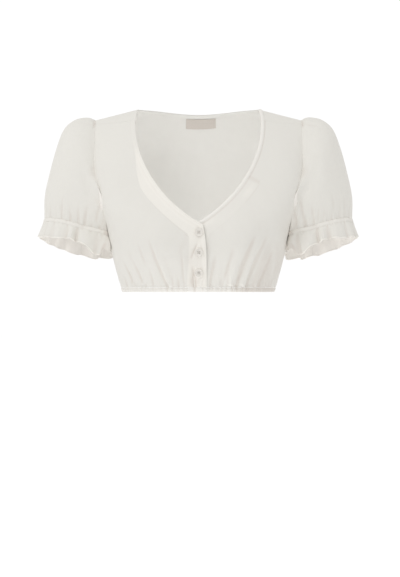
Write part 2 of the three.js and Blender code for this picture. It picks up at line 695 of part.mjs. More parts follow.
// The frill hangs from the band, flaring and waving more on the arm's inner side, where it bulges to the
// body.
function frillPoint(u, share, side) {
  const { facing, turn } = around(u);
  const { base, radial, down } = cuffFrame(turn, facing);
  const fall = down.clone().lerp(new THREE.Vector3(0, 0, -1), FRILL.hang).normalize();
  const inner = (1 + Math.cos(turn)) / 2;
  const uneven = 1 + FRILL_WAVE.uneven * Math.sin(10 * Math.PI * u + 1);
  const deep = mix(FRILL_WAVE.outer, FRILL_WAVE.inner, smooth(1.3 * inner)) * uneven;
  const edge = mix(deep, CUFF.ripple + 1.5, smooth((inner - 0.85) / 0.15));
  const depth = mix(CUFF.ripple, edge, Math.pow(Math.max(0, share), 0.8));
  const bulge = FRILL.bulge * Math.pow(inner, 3) * Math.sin(Math.PI * clamp(share, 0, 1));
  const flare = mix(FRILL.outerFlare, FRILL.innerFlare, inner) * share;
  const wave = -Math.cos(2 * Math.PI * SLEEVE_GATHERS * u) * depth;
  base
    .addScaledVector(down, 2 * CUFF.drop + CUFF.height)
    .addScaledVector(fall, FRILL.length * share)
    .addScaledVector(radial, flare + wave + bulge);
  base.x *= side;
  return base;
}

const ringRows = (ats, cells) => ats.map((at) => ({ at, cells }));
const SLEEVE_ROWS = [
  ...ringRows([0, 0.06, 0.14, 0.24, 0.36], CUFF_CELLS / 2),
  ...ringRows([0.5, 0.63, 0.76, 0.88, 1], CUFF_CELLS),
];

function sleevePieces(side) {
  const hand = side < 0 ? "right" : "left";
  const piece = (name, point, rows, cloth, colour) => {
    const geometry = wall({ place: (u, v) => point(u, v, side), rows, cloth, ring: true });
    return named(name + "_" + hand, geometry, finish(colour));
  };
  return [
    piece("sleeve", sleevePoint, SLEEVE_ROWS, CLOTH, WHITE.cloth),
    piece("cuff_band", cuffPoint, ringRows([0, 1], CUFF_CELLS), CUFF.cloth, WHITE.band),
    piece("frill", frillPoint, ringRows([0, 0.33, 0.67, 1], CUFF_CELLS), CLOTH, WHITE.cloth),
  ];
}

// A dished button with a raised rim and four holes, standing on z = 0.
function buttonSolid() {
  const { radius, rim, thickness, dish, hole, holeAt } = BUTTON;
  const profile = [
    [0, 0],
    [radius - 0.9, 0],
    [radius, 0.9],
    [radius, thickness - 0.5],
    [radius - 0.6, thickness],
    [radius - rim - 0.3, thickness],
    [radius - rim - 1.3, thickness - dish],
    [0, thickness - dish],
  ];
  let solid = Manifold.revolve([profile], BUTTON_SEGMENTS);
  const drill = Manifold.cylinder(3 * thickness, hole, hole, 8).translate(holeAt, holeAt, -thickness);
  for (const degrees of [0, 90, 180, 270]) solid = solid.subtract(drill.rotate([0, 0, degrees]));
  const { vertProperties, triVerts } = solid.getMesh();
  const geometry = new THREE.BufferGeometry();
  geometry.setAttribute("position", new THREE.BufferAttribute(vertProperties, 3));
  geometry.setIndex(new THREE.BufferAttribute(triVerts, 1));
  geometry.computeVertexNormals();
  return geometry;
}

// A button sewn on the right front, square to the cloth.
function button(number, z) {
  const mesh = named("button_" + number, buttonSolid(), finish(WHITE.button, 0.35));
  const angle = -angleAt(BUTTON_X, z, -1);
  const slope = torso(angle, z + 1, -1).sub(torso(angle, z - 1, -1));
  const normal = new THREE.Vector3(1, 0, 0).cross(slope).normalize();
  mesh.quaternion.setFromUnitVectors(new THREE.Vector3(0, 0, 1), normal);
  mesh.position.copy(torso(angle, z, -1)).addScaledVector(normal, CLOTH / 2 + BUTTON.lift);
  return mesh;
}

const blouse = new THREE.Group();
blouse.name = "dirndl_blouse";
blouse.add(backPanel(), frontPanel(-1), frontPanel(1));
blouse.add(frontFacing(-1), frontFacing(1), frontBinding(-1), frontBinding(1), backBinding(), label());
blouse.add(...hemCasings(), ...sleevePieces(-1), ...sleevePieces(1));
BUTTON_ZS.forEach((z, i) => blouse.add(button(i + 1, z)));

export default blouse;
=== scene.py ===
"""Looks of a cropped dirndl blouse in white cotton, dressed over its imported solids.

The body, the neckline and the sleeves follow the same named sizes as the solids. Lengths are millimetres
until a mesh is made. The frame's +Z is up, -Y is the front and +X the blouse's left.
"""

import logging
import math
from collections.abc import Callable, Sequence
from dataclasses import dataclass, field
from enum import Enum

import bpy
import numpy as np
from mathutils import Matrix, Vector


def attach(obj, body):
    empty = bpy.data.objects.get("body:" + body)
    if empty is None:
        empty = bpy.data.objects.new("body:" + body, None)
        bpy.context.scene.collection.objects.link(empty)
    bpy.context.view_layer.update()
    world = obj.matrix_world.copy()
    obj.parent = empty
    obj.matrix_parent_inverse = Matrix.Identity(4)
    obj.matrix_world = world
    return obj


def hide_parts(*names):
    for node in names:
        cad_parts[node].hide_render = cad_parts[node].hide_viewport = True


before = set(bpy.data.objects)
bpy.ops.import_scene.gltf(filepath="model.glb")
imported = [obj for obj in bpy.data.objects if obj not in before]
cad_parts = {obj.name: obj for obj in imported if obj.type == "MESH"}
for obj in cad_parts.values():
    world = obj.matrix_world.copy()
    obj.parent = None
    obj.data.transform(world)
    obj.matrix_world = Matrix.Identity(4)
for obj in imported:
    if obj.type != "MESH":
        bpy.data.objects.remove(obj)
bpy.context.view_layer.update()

Values = float | np.ndarray
Place = tuple[Values, Values]
StitchPath = tuple[np.ndarray, np.ndarray, bool]
Colour = tuple[float, float, float]
Placing = Callable[[np.ndarray, np.ndarray], np.ndarray]
Socket = bpy.types.NodeSocket

LOG = logging.getLogger("blouse")
MM = 0.001
BODY = "root"

# Lines of the body
HEM_Z = -318.0
PANEL_Z = -310.0
ARMPIT_Z = -176.0
SEAM_GAP = 0.3
ARMHOLE_SCOOP = 0.14
SIDE_ANGLE = math.pi / 2 - SEAM_GAP / 2 / 136

# Shoulder line, neckline, overlap
NECK_X, TIP_X, NECK_Z, TIP_Z = 108.9, 184.0, 9.8, -9.5
SHOULDER_BEND = 1.7
SHOULDER_RISE = 90.0
NECKLINE_X = (-7.6, 64.0, 125.8, 108.9)
NECKLINE_Z = (-200.0, -164.7, -75.3, 9.8)
OVERLAP = 14.5
LAP_STEP = 3.4
LAP_FADE = 50.0
BACK_NECK_DIP = 19.4
BACK_NECK_BOW = 2.2
BACK_NECK_SHARE = 0.7
SEAM_NECK = 0.088
SEAM_ARMHOLE = 0.15
SEAM_EASE = 0.0006
FINE_FROM = 1.93
FACING_PLACKET = 34.2
FACING_NECK = 27.0
FACING_SHARE = 0.2
FACING_END = 1.5

# Cloth
BATISTE = 0.6
FACING_CLOTH = 0.5
FACING_DROP = 0.85


def mix(a: Values, b: Values, t: Values) -> Values:
    """Returns the value at share t between a and b."""
    return a + (b - a) * t


def smooth(x: Values) -> Values:
    """Returns a soft step from 0 at x = 0 to 1 at x = 1."""
    t = np.clip(x, 0.0, 1.0)
    return t * t * (3 - 2 * t)


def uneven(x: Values, wave: float, seed: float) -> Values:
    """A wandering value between about -1 and 1 along x.

    Args:
        x: Places, in mm or shares.
        wave: The length of one swing, in the same units.
        seed: Where the wandering starts.

    Returns:
        The value at each place.
    """
    turn = 2 * math.pi * x / wave
    return (
        0.5 * np.sin(turn + seed)
        + 0.3 * np.sin(1.71 * turn + 2.3 * seed + 1)
        + 0.2 * np.sin(2.93 * turn + 4.1 * seed + 2)
    )


class SizeTable:
    """Sizes in named columns, read on a smooth curve through their rows. The first column is the key."""

    def __init__(self, columns: Sequence[str], rows: Sequence[Sequence[float]]) -> None:
        """Keeps the rows as one array for each column.

        Args:
            columns: The columns' names, the key's first.
            rows: The sizes, by rising key.
        """
        data = np.array(rows, float).T
        self.key = data[0]
        self.columns = dict(zip(columns, data))

    def at(self, column: str, key: Values) -> np.ndarray:
        """Reads a column.

        Args:
            column: The column's name.
            key: Where to read it.

        Returns:
            The column's value at each key.
        """
        x, y = self.key, self.columns[column]
        slope = np.empty_like(y)
        slope[1:-1] = (y[2:] - y[:-2]) / (x[2:] - x[:-2])
        slope[0] = (y[1] - y[0]) / (x[1] - x[0])
        slope[-1] = (y[-1] - y[-2]) / (x[-1] - x[-2])
        i = np.searchsorted(x[1:-1], key, side="left")
        span = x[i + 1] - x[i]
        t = np.clip((key - x[i]) / span, 0, 1)
        t2, t3 = t * t, t * t * t
        return (
            (2 * t3 - 3 * t2 + 1) * y[i]
            + (t3 - 2 * t2 + t) * span * slope[i]
            + (3 * t2 - 2 * t3) * y[i + 1]
            + (t3 - t2) * span * slope[i + 1]
        )


@dataclass(frozen=True)
class Crease:
    """A crease laid in the front or back view, with a soft ridge beside its valley.

    A negative depth makes it a ridge. It fades in over its first share, and out over its last.
    """

    x: float
    z: float
    to_x: float
    to_z: float
    width: float
    depth: float
    bow: float = 0.0
    fade_in: float = 0.45
    fade_out: float = 0.12

    def lift(self, x: Values, z: Values) -> Values:
        """Reads the crease's form.

        Args:
            x: Distance from the centre, in mm.
            z: Height, in mm.

        Returns:
            How far the cloth stands out at each place, in mm.
        """
        way_x, way_z = self.to_x - self.x, self.to_z - self.z
        length = math.hypot(way_x, way_z)
        share = ((x - self.x) * way_x + (z - self.z) * way_z) / length**2
        t = np.clip(share, 0, 1)
        off = ((x - self.x) * way_z - (z - self.z) * way_x) / length - 4 * self.bow * t * (1 - t)
        fade = smooth(share / self.fade_in) * smooth((1 - share) / self.fade_out + 0.35 * (share < 1))
        s = off / self.width
        return self.depth * fade * (0.6 * np.exp(-((s - 1.7) ** 2) / 1.6) - np.exp(-s * s))


@dataclass(frozen=True)
class Gathers:
    """A row of gathers that rise from a casing, one row each: place, lean, length, width, depth."""

    rows: tuple[tuple[float, float, float, float, float], ...]
    foot: float = PANEL_Z - 14

    def creases(self) -> list[Crease]:
        """Lays the gathers out.

        Returns:
            A crease for each gather.
        """
        made = []
        for x, lean, length, width, depth in self.rows:
            top, foot = (x + lean * length, PANEL_Z + length), (x - lean * 10, self.foot)
            made.append(Crease(*top, *foot, width, depth, lean * length * 0.12, 0.62, 0.02))
        return made


def lift_of(creases: Sequence[Crease], x: Values, z: Values) -> np.ndarray:
    """Adds creases up.

    Args:
        creases: The creases.
        x: Distance from the centre, in mm.
        z: Height, in mm.

    Returns:
        The sum of their lifts at each place, in mm.
    """
    total = np.zeros(np.broadcast(x, z).shape)
    for crease in creases:
        total = total + crease.lift(x, z)
    return total


@dataclass(frozen=True)
class TorsoForm:
    """The worn form that the body panels lie on: its sections, the bust and the lines cut into it."""

    cup_x: float = 76.0
    cup_z: float = -222.0
    cup_reach: float = 13.0
    cup_wide: float = 50.0
    cup_tall: float = 56.0
    sections: SizeTable = SizeTable(
        ("z", "width", "front", "back", "square", "front_square"),
        (
            (-318, 136, 92, 84, 2.1, 2.1),
            (-280, 147, 106, 92, 2.15, 2.25),
            (-240, 157, 117, 98, 2.6, 2.8),
            (-200, 164.5, 119, 102, 3.3, 3.6),
            (-176, 171, 115, 103, 3.8, 4.2),
            (-120, 187, 101, 103, 3.8, 4.2),
            (-60, 197, 88, 97, 3.5, 3.7),
            (25, 202, 80, 88, 3.2, 3.2),
        ),
    )

    def shoulder_z(self, x: Values) -> np.ndarray:
        """Follows the shoulder line.

        Args:
            x: Distance from the centre, in mm.

        Returns:
            The line's height at each distance.
        """
        fall = (NECK_Z - TIP_Z) / (TIP_X - NECK_X)
        out = np.abs(x)
        inside = NECK_Z + fall * (NECK_X**2 - out**2) / (2 * NECK_X)
        return np.where(out > NECK_X, NECK_Z - fall * (out - NECK_X), inside)

    def crest(self, x: Values, z: Values) -> Values:
        """Returns how much of its depth the torso keeps, from all of it to none at the shoulder line."""
        s = np.clip(1 + (z - self.shoulder_z(x)) / SHOULDER_RISE, 0, 1)
        return (1 - s**SHOULDER_BEND) ** (1 / SHOULDER_BEND)

    def bust(self, x: Values, z: Values) -> Values:
        """Shapes the soft, general bust.

        Args:
            x: Distance from the centre, in mm.
            z: Height, in mm.

        Returns:
            How far it stands out, in mm.
        """
        across = (np.abs(x) - self.cup_x) / self.cup_wide
        up = (z - self.cup_z) / self.cup_tall
        return self.cup_reach * np.exp(-across * across - up * up)

    def _section(self, z: Values, facing: Values) -> tuple[Values, Values, Values]:
        """Reads the torso's section.

        Args:
            z: Height, in mm.
            facing: -1 on the front, 1 on the back.

        Returns:
            Half width, depth and squareness at each height.
        """
        front = np.asarray(facing) < 0
        depth = np.where(front, self.sections.at("front", z), self.sections.at("back", z))
        square = np.where(front, self.sections.at("front_square", z), self.sections.at("square", z))
        return self.sections.at("width", z), depth, square

    def side_x(self, y: Values, z: Values, facing: Values) -> Values:
        """Returns the half width of the torso at each depth and height."""
        width, depth, square = self._section(z, facing)
        return width * (1 - np.clip(np.abs(y) / depth, 0, 1) ** square) ** (1 / square)

    def surface(self, angle: Values, z: Values, facing: Values, push: Values = 0.0) -> np.ndarray:
        """Points of the torso's surface.

        Args:
            angle: Angle from the centre plane.
            z: Height.
            facing: -1 on the front, 1 on the back.
            push: How far the points stand out.

        Returns:
            An array with x, y and z last.
        """
        width, depth, square = self._section(z, facing)
        sin, cos = np.sin(angle), np.cos(angle)
        reach = ((np.abs(sin) / width) ** square + (np.abs(cos) / depth) ** square) ** (-1 / square)
        x = reach * sin
        bust = np.where(facing < 0, self.bust(x, z) * np.maximum(0, cos), 0)
        y = (reach * cos + bust) * self.crest(x, z) + SEAM_GAP / 2
        return np.stack(np.broadcast_arrays(x + push * sin, facing * (y + push * cos), z), -1)

    def angle_at(self, x: Values, z: Values, facing: Values) -> np.ndarray:
        """Turns a distance into an angle.

        Args:
            x: Distance from the centre, in mm.
            z: Height, in mm.
            facing: -1 on the front, 1 on the back.

        Returns:
            The angle at which the torso is x away from the centre plane.
        """
        width, depth, square = self._section(z, facing)
        share = np.clip(np.abs(x) / width, 0, 1)
        return np.arctan2(x, depth * (1 - share**square) ** (1 / square))

    def armhole(self, t: Values, facing: Values) -> Place:
        """Follows the armhole seam.

        Args:
            t: From the armpit at 0 to the shoulder's end at 1.
            facing: -1 on the front, 1 on the back.

        Returns:
            Angle and height.
        """
        middle = (TIP_Z + ARMPIT_Z) / 2
        turn = (t - 0.5) * math.pi
        z = middle + (TIP_Z - ARMPIT_Z) / 2 * np.sin(turn)
        widest = self.angle_at(TIP_X, middle, facing)
        low = mix(SIDE_ANGLE, widest, np.maximum(0, np.cos(turn)) ** 0.9)
        scoop = ARMHOLE_SCOOP * np.where(np.asarray(facing) < 0, 1.0, 0.6)
        low = low - np.where(turn < 0, scoop * np.sin(2 * turn) ** 2, 0)
        return np.where(turn >= 0, self.angle_at(TIP_X, z, facing), low), z

    def neckline(self, t: Values) -> Place:
        """Follows the neckline.

        Args:
            t: From the overlap's corner at 0 to the shoulder line at 1.

        Returns:
            x and z.
        """
        s = 1 - t
        weights = (s**3, 3 * s * s * t, 3 * s * t * t, t**3)
        return (
            sum(w * x for w, x in zip(weights, NECKLINE_X)),
            sum(w * z for w, z in zip(weights, NECKLINE_Z)),
        )

    def inner_edge(self, t: Values) -> Place:
        """Follows a front's inner edge.

        Args:
            t: The overlap up to 1, the neckline up to 2.

        Returns:
            x and z.
        """
        neck_x, neck_z = self.neckline(np.clip(t - 1, 0, 1))
        low = np.clip(t, 0, 1)
        x = np.where(t >= 1, neck_x, mix(-OVERLAP, NECKLINE_X[0], low**4))
        return x, np.where(t >= 1, neck_z, mix(PANEL_Z, NECKLINE_Z[0], low))

    def outer_edge(self, t: Values, facing: int) -> Place:
        """Follows a panel's outer edge.

        Args:
            t: The side seam up to 1, the armhole up to 2.
            facing: -1 on the front, 1 on the back.

        Returns:
            Angle and height.
        """
        share = np.clip(t - 1, 0, 1)
        if facing < 0:
            low = share * (1 - SEAM_ARMHOLE) / (1 - SEAM_NECK)
            high = mix(1 - SEAM_ARMHOLE, 1, (share - 1 + SEAM_NECK) / SEAM_NECK)
            share = np.where(share < 1 - SEAM_NECK, low, high)
        angle, z = self.armhole(share, facing)
        return np.where(t < 1, SIDE_ANGLE, angle), np.where(t < 1, mix(PANEL_Z, ARMPIT_Z, t), z)

    def facing_way(self, t: Values) -> Place:
        """Steps from a front's inner edge across its facing.

        Args:
            t: Upwards: 0 at the casing, 1 at the armpit, 2 at the shoulder line.

        Returns:
            The steps in x and z.
        """
        step = 1e-3
        at = np.clip(t - 1, 0, 1 - step)
        ax, az = self.neckline(at)
        bx, bz = self.neckline(at + step)
        square = np.arctan2(ax - bx, bz - az)
        fall = math.atan2(TIP_Z - NECK_Z, TIP_X - NECK_X)
        turned = mix(square / 2, square, smooth((t - 1) / 0.22))
        below = square / 2 * smooth((t - 0.75) / 0.25)
        slant = np.where(t < 1, below, mix(turned, fall, smooth((t - 1.8) / 0.2)))
        width = mix(FACING_PLACKET, FACING_NECK, smooth(t)) / np.cos(np.where(t < 1, slant, square - turned))
        return width * np.cos(slant), width * np.sin(slant)

    def facing_place(self, share: Values, t: Values) -> Place:
        """Finds a place between a front's inner edge and its facing's edge.

        Args:
            share: From the inner edge at 0 to the facing's at 1.
            t: Upwards: 0 at the casing, 1 at the armpit, 2 at the shoulder line.

        Returns:
            Angle and height.
        """
        edge_x, edge_z = self.inner_edge(t)
        way_x, way_z = self.facing_way(t)

        def at(k: Values) -> Place:
            """Returns angle and height at k steps across."""
            x, z = edge_x + k * way_x, edge_z + k * way_z
            return self.angle_at(x, z, -1), z

        start, end = self.surface(*at(0.0), -1), self.surface(*at(1.0), -1)
        over = np.linalg.norm(start - end, axis=-1)
        return at(share * np.hypot(way_x, way_z) / over)

    def between(self, start: Place, end: Place, share: Values, t: Values, facing: int) -> Place:
        """Finds the place that keeps its height under the shoulder line between two places.

        Args:
            start: The first place's angle and height.
            end: The second's.
            share: From the first at 0 to the second at 1.
            t: Upwards: 0 at the casing, 1 at the armpit, 2 at the shoulder line.
            facing: -1 on the front, 1 on the back.

        Returns:
            Angle and height.
        """

        def under(place: Place) -> Values:
            """Returns a place's height under the shoulder line."""
            return place[1] - self.shoulder_z(self.surface(*place, facing)[..., 0])

        angle = mix(start[0], end[0], share)
        level = mix(start[1], end[1], share)
        below = mix(under(start), under(end), share)
        z = level
        for _ in range(5):
            z = mix(level, self.shoulder_z(self.surface(angle, z, facing)[..., 0]) + below, smooth(t - 1))
        return angle, z

    def front_place(self, u: Values, t: Values) -> Place:
        """Finds a place on a front.

        Args:
            u: From the inner edge at 0 to the side at 1.
            t: Upwards: 0 at the casing, 1 at the armpit, 2 at the shoulder line.

        Returns:
            Angle and height.
        """
        rest = np.clip((u - FACING_SHARE) / (1 - FACING_SHARE), 0, 1)
        fan = 0.075 * np.sin(math.pi * rest) * smooth(t / 0.7) * (1 - smooth((t - 0.8) / 1.1))
        near = self.facing_place(np.clip(u / FACING_SHARE, 0, 1), t)
        far = self.between(self.facing_place(1.0, t), self.outer_edge(t, -1), rest + fan, t, -1)
        inside = u <= FACING_SHARE
        return np.where(inside, near[0], far[0]), np.where(inside, near[1], far[1])

    def back_place(self, u: Values, t: Values) -> Place:
        """Finds a place on the back.

        Args:
            u: From one side at -1 to the other at 1.
            t: Upwards: 0 at the casing, 1 at the armpit, 2 at the shoulder line.

        Returns:
            Angle and height.
        """
        across = np.abs(u)
        past = np.maximum(0, (across - BACK_NECK_SHARE) / (1 - BACK_NECK_SHARE))
        in_neck = np.clip(across / BACK_NECK_SHARE, 0, 1)
        outer = self.outer_edge(t, 1)
        rise = self.shoulder_z(0.0) - self.shoulder_z(self.surface(*outer, 1)[..., 0])
        centre = (np.zeros_like(outer[0]), outer[1] + rise * smooth(t - 1))
        neck = self.angle_at(NECK_X, NECK_Z, 1) / self.angle_at(TIP_X, TIP_Z, 1)
        angle, z = self.between(centre, outer, mix(in_neck * neck, 1, past), t, 1)
        dip = BACK_NECK_DIP * (1 - in_neck**BACK_NECK_BOW) * smooth(t - 1) ** 2
        return np.sign(u) * angle, z - dip


TORSO = TorsoForm()


class Side(Enum):
    """The blouse's own right and left."""

    RIGHT = -1
    LEFT = 1

    @property
    def word(self) -> str:
        """The side's name as the nodes have it."""
        return self.name.lower()


def normals_of(points: np.ndarray, outward: float, ring: bool = False) -> np.ndarray:
    """Outward directions at the points of a grid.

    Args:
        points: Rows, columns and x, y, z.
        outward: 1 or -1, whichever turns the directions out.
        ring: Whether the last column meets the first.

    Returns:
        Unit vectors in the points' layout.
    """
    if ring:
        along = np.roll(points, -1, 1) - np.roll(points, 1, 1)
    else:
        along = np.gradient(points, axis=1)
    normal = np.cross(along, np.gradient(points, axis=0)) * outward
    return normal / np.maximum(np.linalg.norm(normal, axis=-1, keepdims=True), 1e-9)


def add_object(name: str, data: bpy.types.ID) -> bpy.types.Object:
    """Returns a new object of the scene, at the origin."""
    made = bpy.data.objects.new(name, data)
    bpy.context.scene.collection.objects.link(made)
    return made


@dataclass
class ClothSheet:
    """A grid of points that becomes a thin closed wall of cloth.

    Args:
        name: The piece's name.
        points: Rows, columns and x, y, z, in mm.
        outward: 1 or -1, whichever turns the normals out.
        thickness: The cloth's, in mm, one value or one for each point.
        ring: Whether the last column meets the first.
        keep: Which cells exist, or None for all.
        layers: Share of a second layer behind each point, which lightens the cloth.
        shade: Painted shade added to that of the folds, as beside a seam.
    """

    name: str
    points: np.ndarray
    outward: float = 1.0
    thickness: float | np.ndarray = BATISTE
    ring: bool = False
    keep: np.ndarray | None = None
    layers: np.ndarray | None = None
    shade: np.ndarray | float = 0.0

    def __post_init__(self) -> None:
        """Works out the normals once."""
        self.normals = normals_of(self.points, self.outward, self.ring)

    def offset(self, by: Values) -> np.ndarray:
        """Returns the grid moved out along its normals."""
        return self.points + self.normals * np.asarray(by)[..., None]

    def lines(self) -> tuple[np.ndarray, np.ndarray]:
        """Measures the cloth.

        Returns:
            Each point's distances across and along the cloth, in mm.
        """
        across = np.linalg.norm(np.diff(self.points, axis=1), axis=-1)
        along = np.linalg.norm(np.diff(self.points, axis=0), axis=-1)
        across = np.pad(np.cumsum(across, 1), ((0, 0), (1, 0)))
        along = np.pad(np.cumsum(along, 0), ((1, 0), (0, 0)))
        return across - across[:, [across.shape[1] // 2]], along

    def valleys(self) -> np.ndarray:
        """Finds the folds.

        Returns:
            How deep in a fold each point lies, from 0 to 1.
        """
        reach = 3
        if self.ring:
            beside = (np.roll(self.points, reach, 1) + np.roll(self.points, -reach, 1)) / 2
        else:
            wide = np.pad(self.points, ((0, 0), (reach, reach), (0, 0)), mode="edge")
            beside = (wide[:, 2 * reach :] + wide[:, : -2 * reach]) / 2
            beside[:, :reach] = self.points[:, :reach]
            beside[:, -reach:] = self.points[:, -reach:]
        depth = ((beside - self.points) * self.normals).sum(-1)
        return np.clip(depth / 1.1, 0, 1)

    def _faces(self) -> np.ndarray:
        """Lays the wall's outer side, inner side and rim.

        Returns:
            Four points for each face, numbered along the rows, the inner side's after all the outer's.
        """
        rows, columns = self.points.shape[:2]
        count = rows * columns
        ids = np.arange(count).reshape(rows, columns)
        right = np.roll(ids, -1, 1) if self.ring else ids[:, 1:]
        here = ids if self.ring else ids[:, :-1]
        quads = np.stack([here[:-1], right[:-1], right[1:], here[1:]], -1)
        quads = quads[self.keep] if self.keep is not None else quads.reshape(-1, 4)
        if self.outward < 0:
            quads = quads[:, ::-1]
        edges = np.concatenate([quads[:, [k, (k + 1) % 4]] for k in range(4)])
        keys = edges[:, 0] * count + edges[:, 1]
        free = edges[~np.isin(keys, edges[:, 1] * count + edges[:, 0])]
        rim = np.stack([free[:, 1], free[:, 0], free[:, 0] + count, free[:, 1] + count], -1)
        return np.concatenate([quads, quads[:, ::-1] + count, rim])

    def object(self) -> bpy.types.Object:
        """Makes the wall, with its painted values.

        Returns:
            A new object with cloth coordinates, layers, painted shade and inner side.
        """
        rows, columns = self.points.shape[:2]
        half = np.broadcast_to(np.asarray(self.thickness, float), (rows, columns)) / 2
        vertices = np.concatenate([self.offset(half).reshape(-1, 3), self.offset(-half).reshape(-1, 3)]) * MM
        faces = self._faces()
        count = rows * columns
        used = np.zeros(2 * count, bool)
        used[faces] = True
        renumber = np.cumsum(used) - 1
        mesh = bpy.data.meshes.new(self.name + "_cloth")
        mesh.from_pydata(vertices[used].tolist(), [], renumber[faces].tolist())
        across, along = self.lines()
        layers = np.zeros((rows, columns)) if self.layers is None else self.layers
        inside = np.concatenate([np.zeros(count), np.ones(count)])
        measured = np.stack([across, along, 0 * along], -1).reshape(-1, 3)
        self._paint(mesh, "cloth_mm", np.tile(measured, (2, 1))[used])
        self._paint(mesh, "layers", np.tile(layers.reshape(-1), 2)[used])
        # Painted shade: each fold's depth and the sheet's own painted shade darken the outer side toward the
        # fold colour.
        shade_paint = np.clip(self.valleys() + self.shade, 0, 1.5)
        self._paint(mesh, "valley", (np.tile(shade_paint.reshape(-1), 2) * (1 - inside))[used])
        self._paint(mesh, "inside", inside[used])
        mesh.shade_smooth()
        mesh.set_sharp_from_angle(angle=math.radians(55))
        return add_object(self.name + "_cloth", mesh)

    @staticmethod
    def _paint(mesh: bpy.types.Mesh, name: str, values: np.ndarray) -> None:
        """Stores values for each vertex.

        Args:
            mesh: The mesh.
            name: The attribute's name.
            values: One value or three for each vertex.
        """
        vector = values.ndim == 2
        attribute = mesh.attributes.new(name, "FLOAT_VECTOR" if vector else "FLOAT", "POINT")
        attribute.data.foreach_set("vector" if vector else "value", values.astype(np.float32).ravel())


class Nodes:
    """A short way to lay out the nodes of one material."""

    def __init__(self, material: bpy.types.Material) -> None:
        """Starts from an empty tree with a Principled shader.

        Args:
            material: The new material.
        """
        material.use_nodes = True
        self.tree = material.node_tree
        self.tree.nodes.clear()
        self.shader = self.add("ShaderNodeBsdfPrincipled")
        output = self.add("ShaderNodeOutputMaterial")
        self.link(self.shader.outputs["BSDF"], output.inputs["Surface"])

    def add(self, kind: str, **settings: object) -> bpy.types.Node:
        """Adds a node.

        Args:
            kind: The node's type.
            **settings: Its properties.

        Returns:
            The node.
        """
        node = self.tree.nodes.new(kind)
        for key, value in settings.items():
            setattr(node, key, value)
        return node

    def link(self, source: Socket, target: Socket) -> None:
        """Joins two sockets."""
        self.tree.links.new(source, target)

    def attribute(self, name: str, output: str) -> Socket:
        """Returns a socket with a piece's own attribute."""
        return self.add("ShaderNodeAttribute", attribute_name=name).outputs[output]

    def noise(self, vector: Socket, scale: tuple[float, float, float], detail: float = 2.0) -> Socket:
        """Adds a noise pattern.

        Args:
            vector: Where it is read.
            scale: Patches for each unit of the vector.
            detail: Finer layers.

        Returns:
            The pattern's socket.
        """
        mapping = self.add("ShaderNodeMapping")
        mapping.inputs["Scale"].default_value = scale
        self.link(vector, mapping.inputs["Vector"])
        noise = self.add("ShaderNodeTexNoise")
        noise.inputs["Scale"].default_value = 1.0
        noise.inputs["Detail"].default_value = detail
        self.link(mapping.outputs["Vector"], noise.inputs["Vector"])
        return noise.outputs["Fac"]

    def math(self, operation: str, a: Socket | float, b: Socket | float) -> Socket:
        """Adds a sum, a product or the like.

        Args:
            operation: Which one.
            a: A socket or number.
            b: Another.

        Returns:
            The result's socket.
        """
        node = self.add("ShaderNodeMath", operation=operation)
        for socket, value in zip(node.inputs, (a, b)):
            if isinstance(value, (int, float)):
                socket.default_value = value
            else:
                self.link(value, socket)
        return node.outputs[0]

    def blend(self, share: Socket, a: Socket | Colour, b: Socket | Colour) -> Socket:
        """Mixes two colours.

        Args:
            share: Share of the second.
            a: A colour or its socket.
            b: Another.

        Returns:
            The colour's socket.
        """
        node = self.add("ShaderNodeMix", data_type="RGBA")
        self.link(share, node.inputs["Factor"])
        for key, value in (("A", a), ("B", b)):
            socket = next(s for s in node.inputs if s.name == key and s.type == "RGBA")
            if isinstance(value, tuple):
                socket.default_value = (*value, 1.0)
            else:
                self.link(value, socket)
        return next(s for s in node.outputs if s.type == "RGBA")

    def bump(self, height: Socket, distance: float, normal: Socket | None = None) -> Socket:
        """Roughens the surface.

        Args:
            height: The relief's pattern.
            distance: Its height, in mm.
            normal: What it adds to.

        Returns:
            The normal's socket.
        """
        node = self.add("ShaderNodeBump")
        node.inputs["Strength"].default_value = 1.0
        node.inputs["Distance"].default_value = distance * MM
        self.link(height, node.inputs["Height"])
        if normal is not None:
            self.link(normal, node.inputs["Normal"])
        return node.outputs["Normal"]


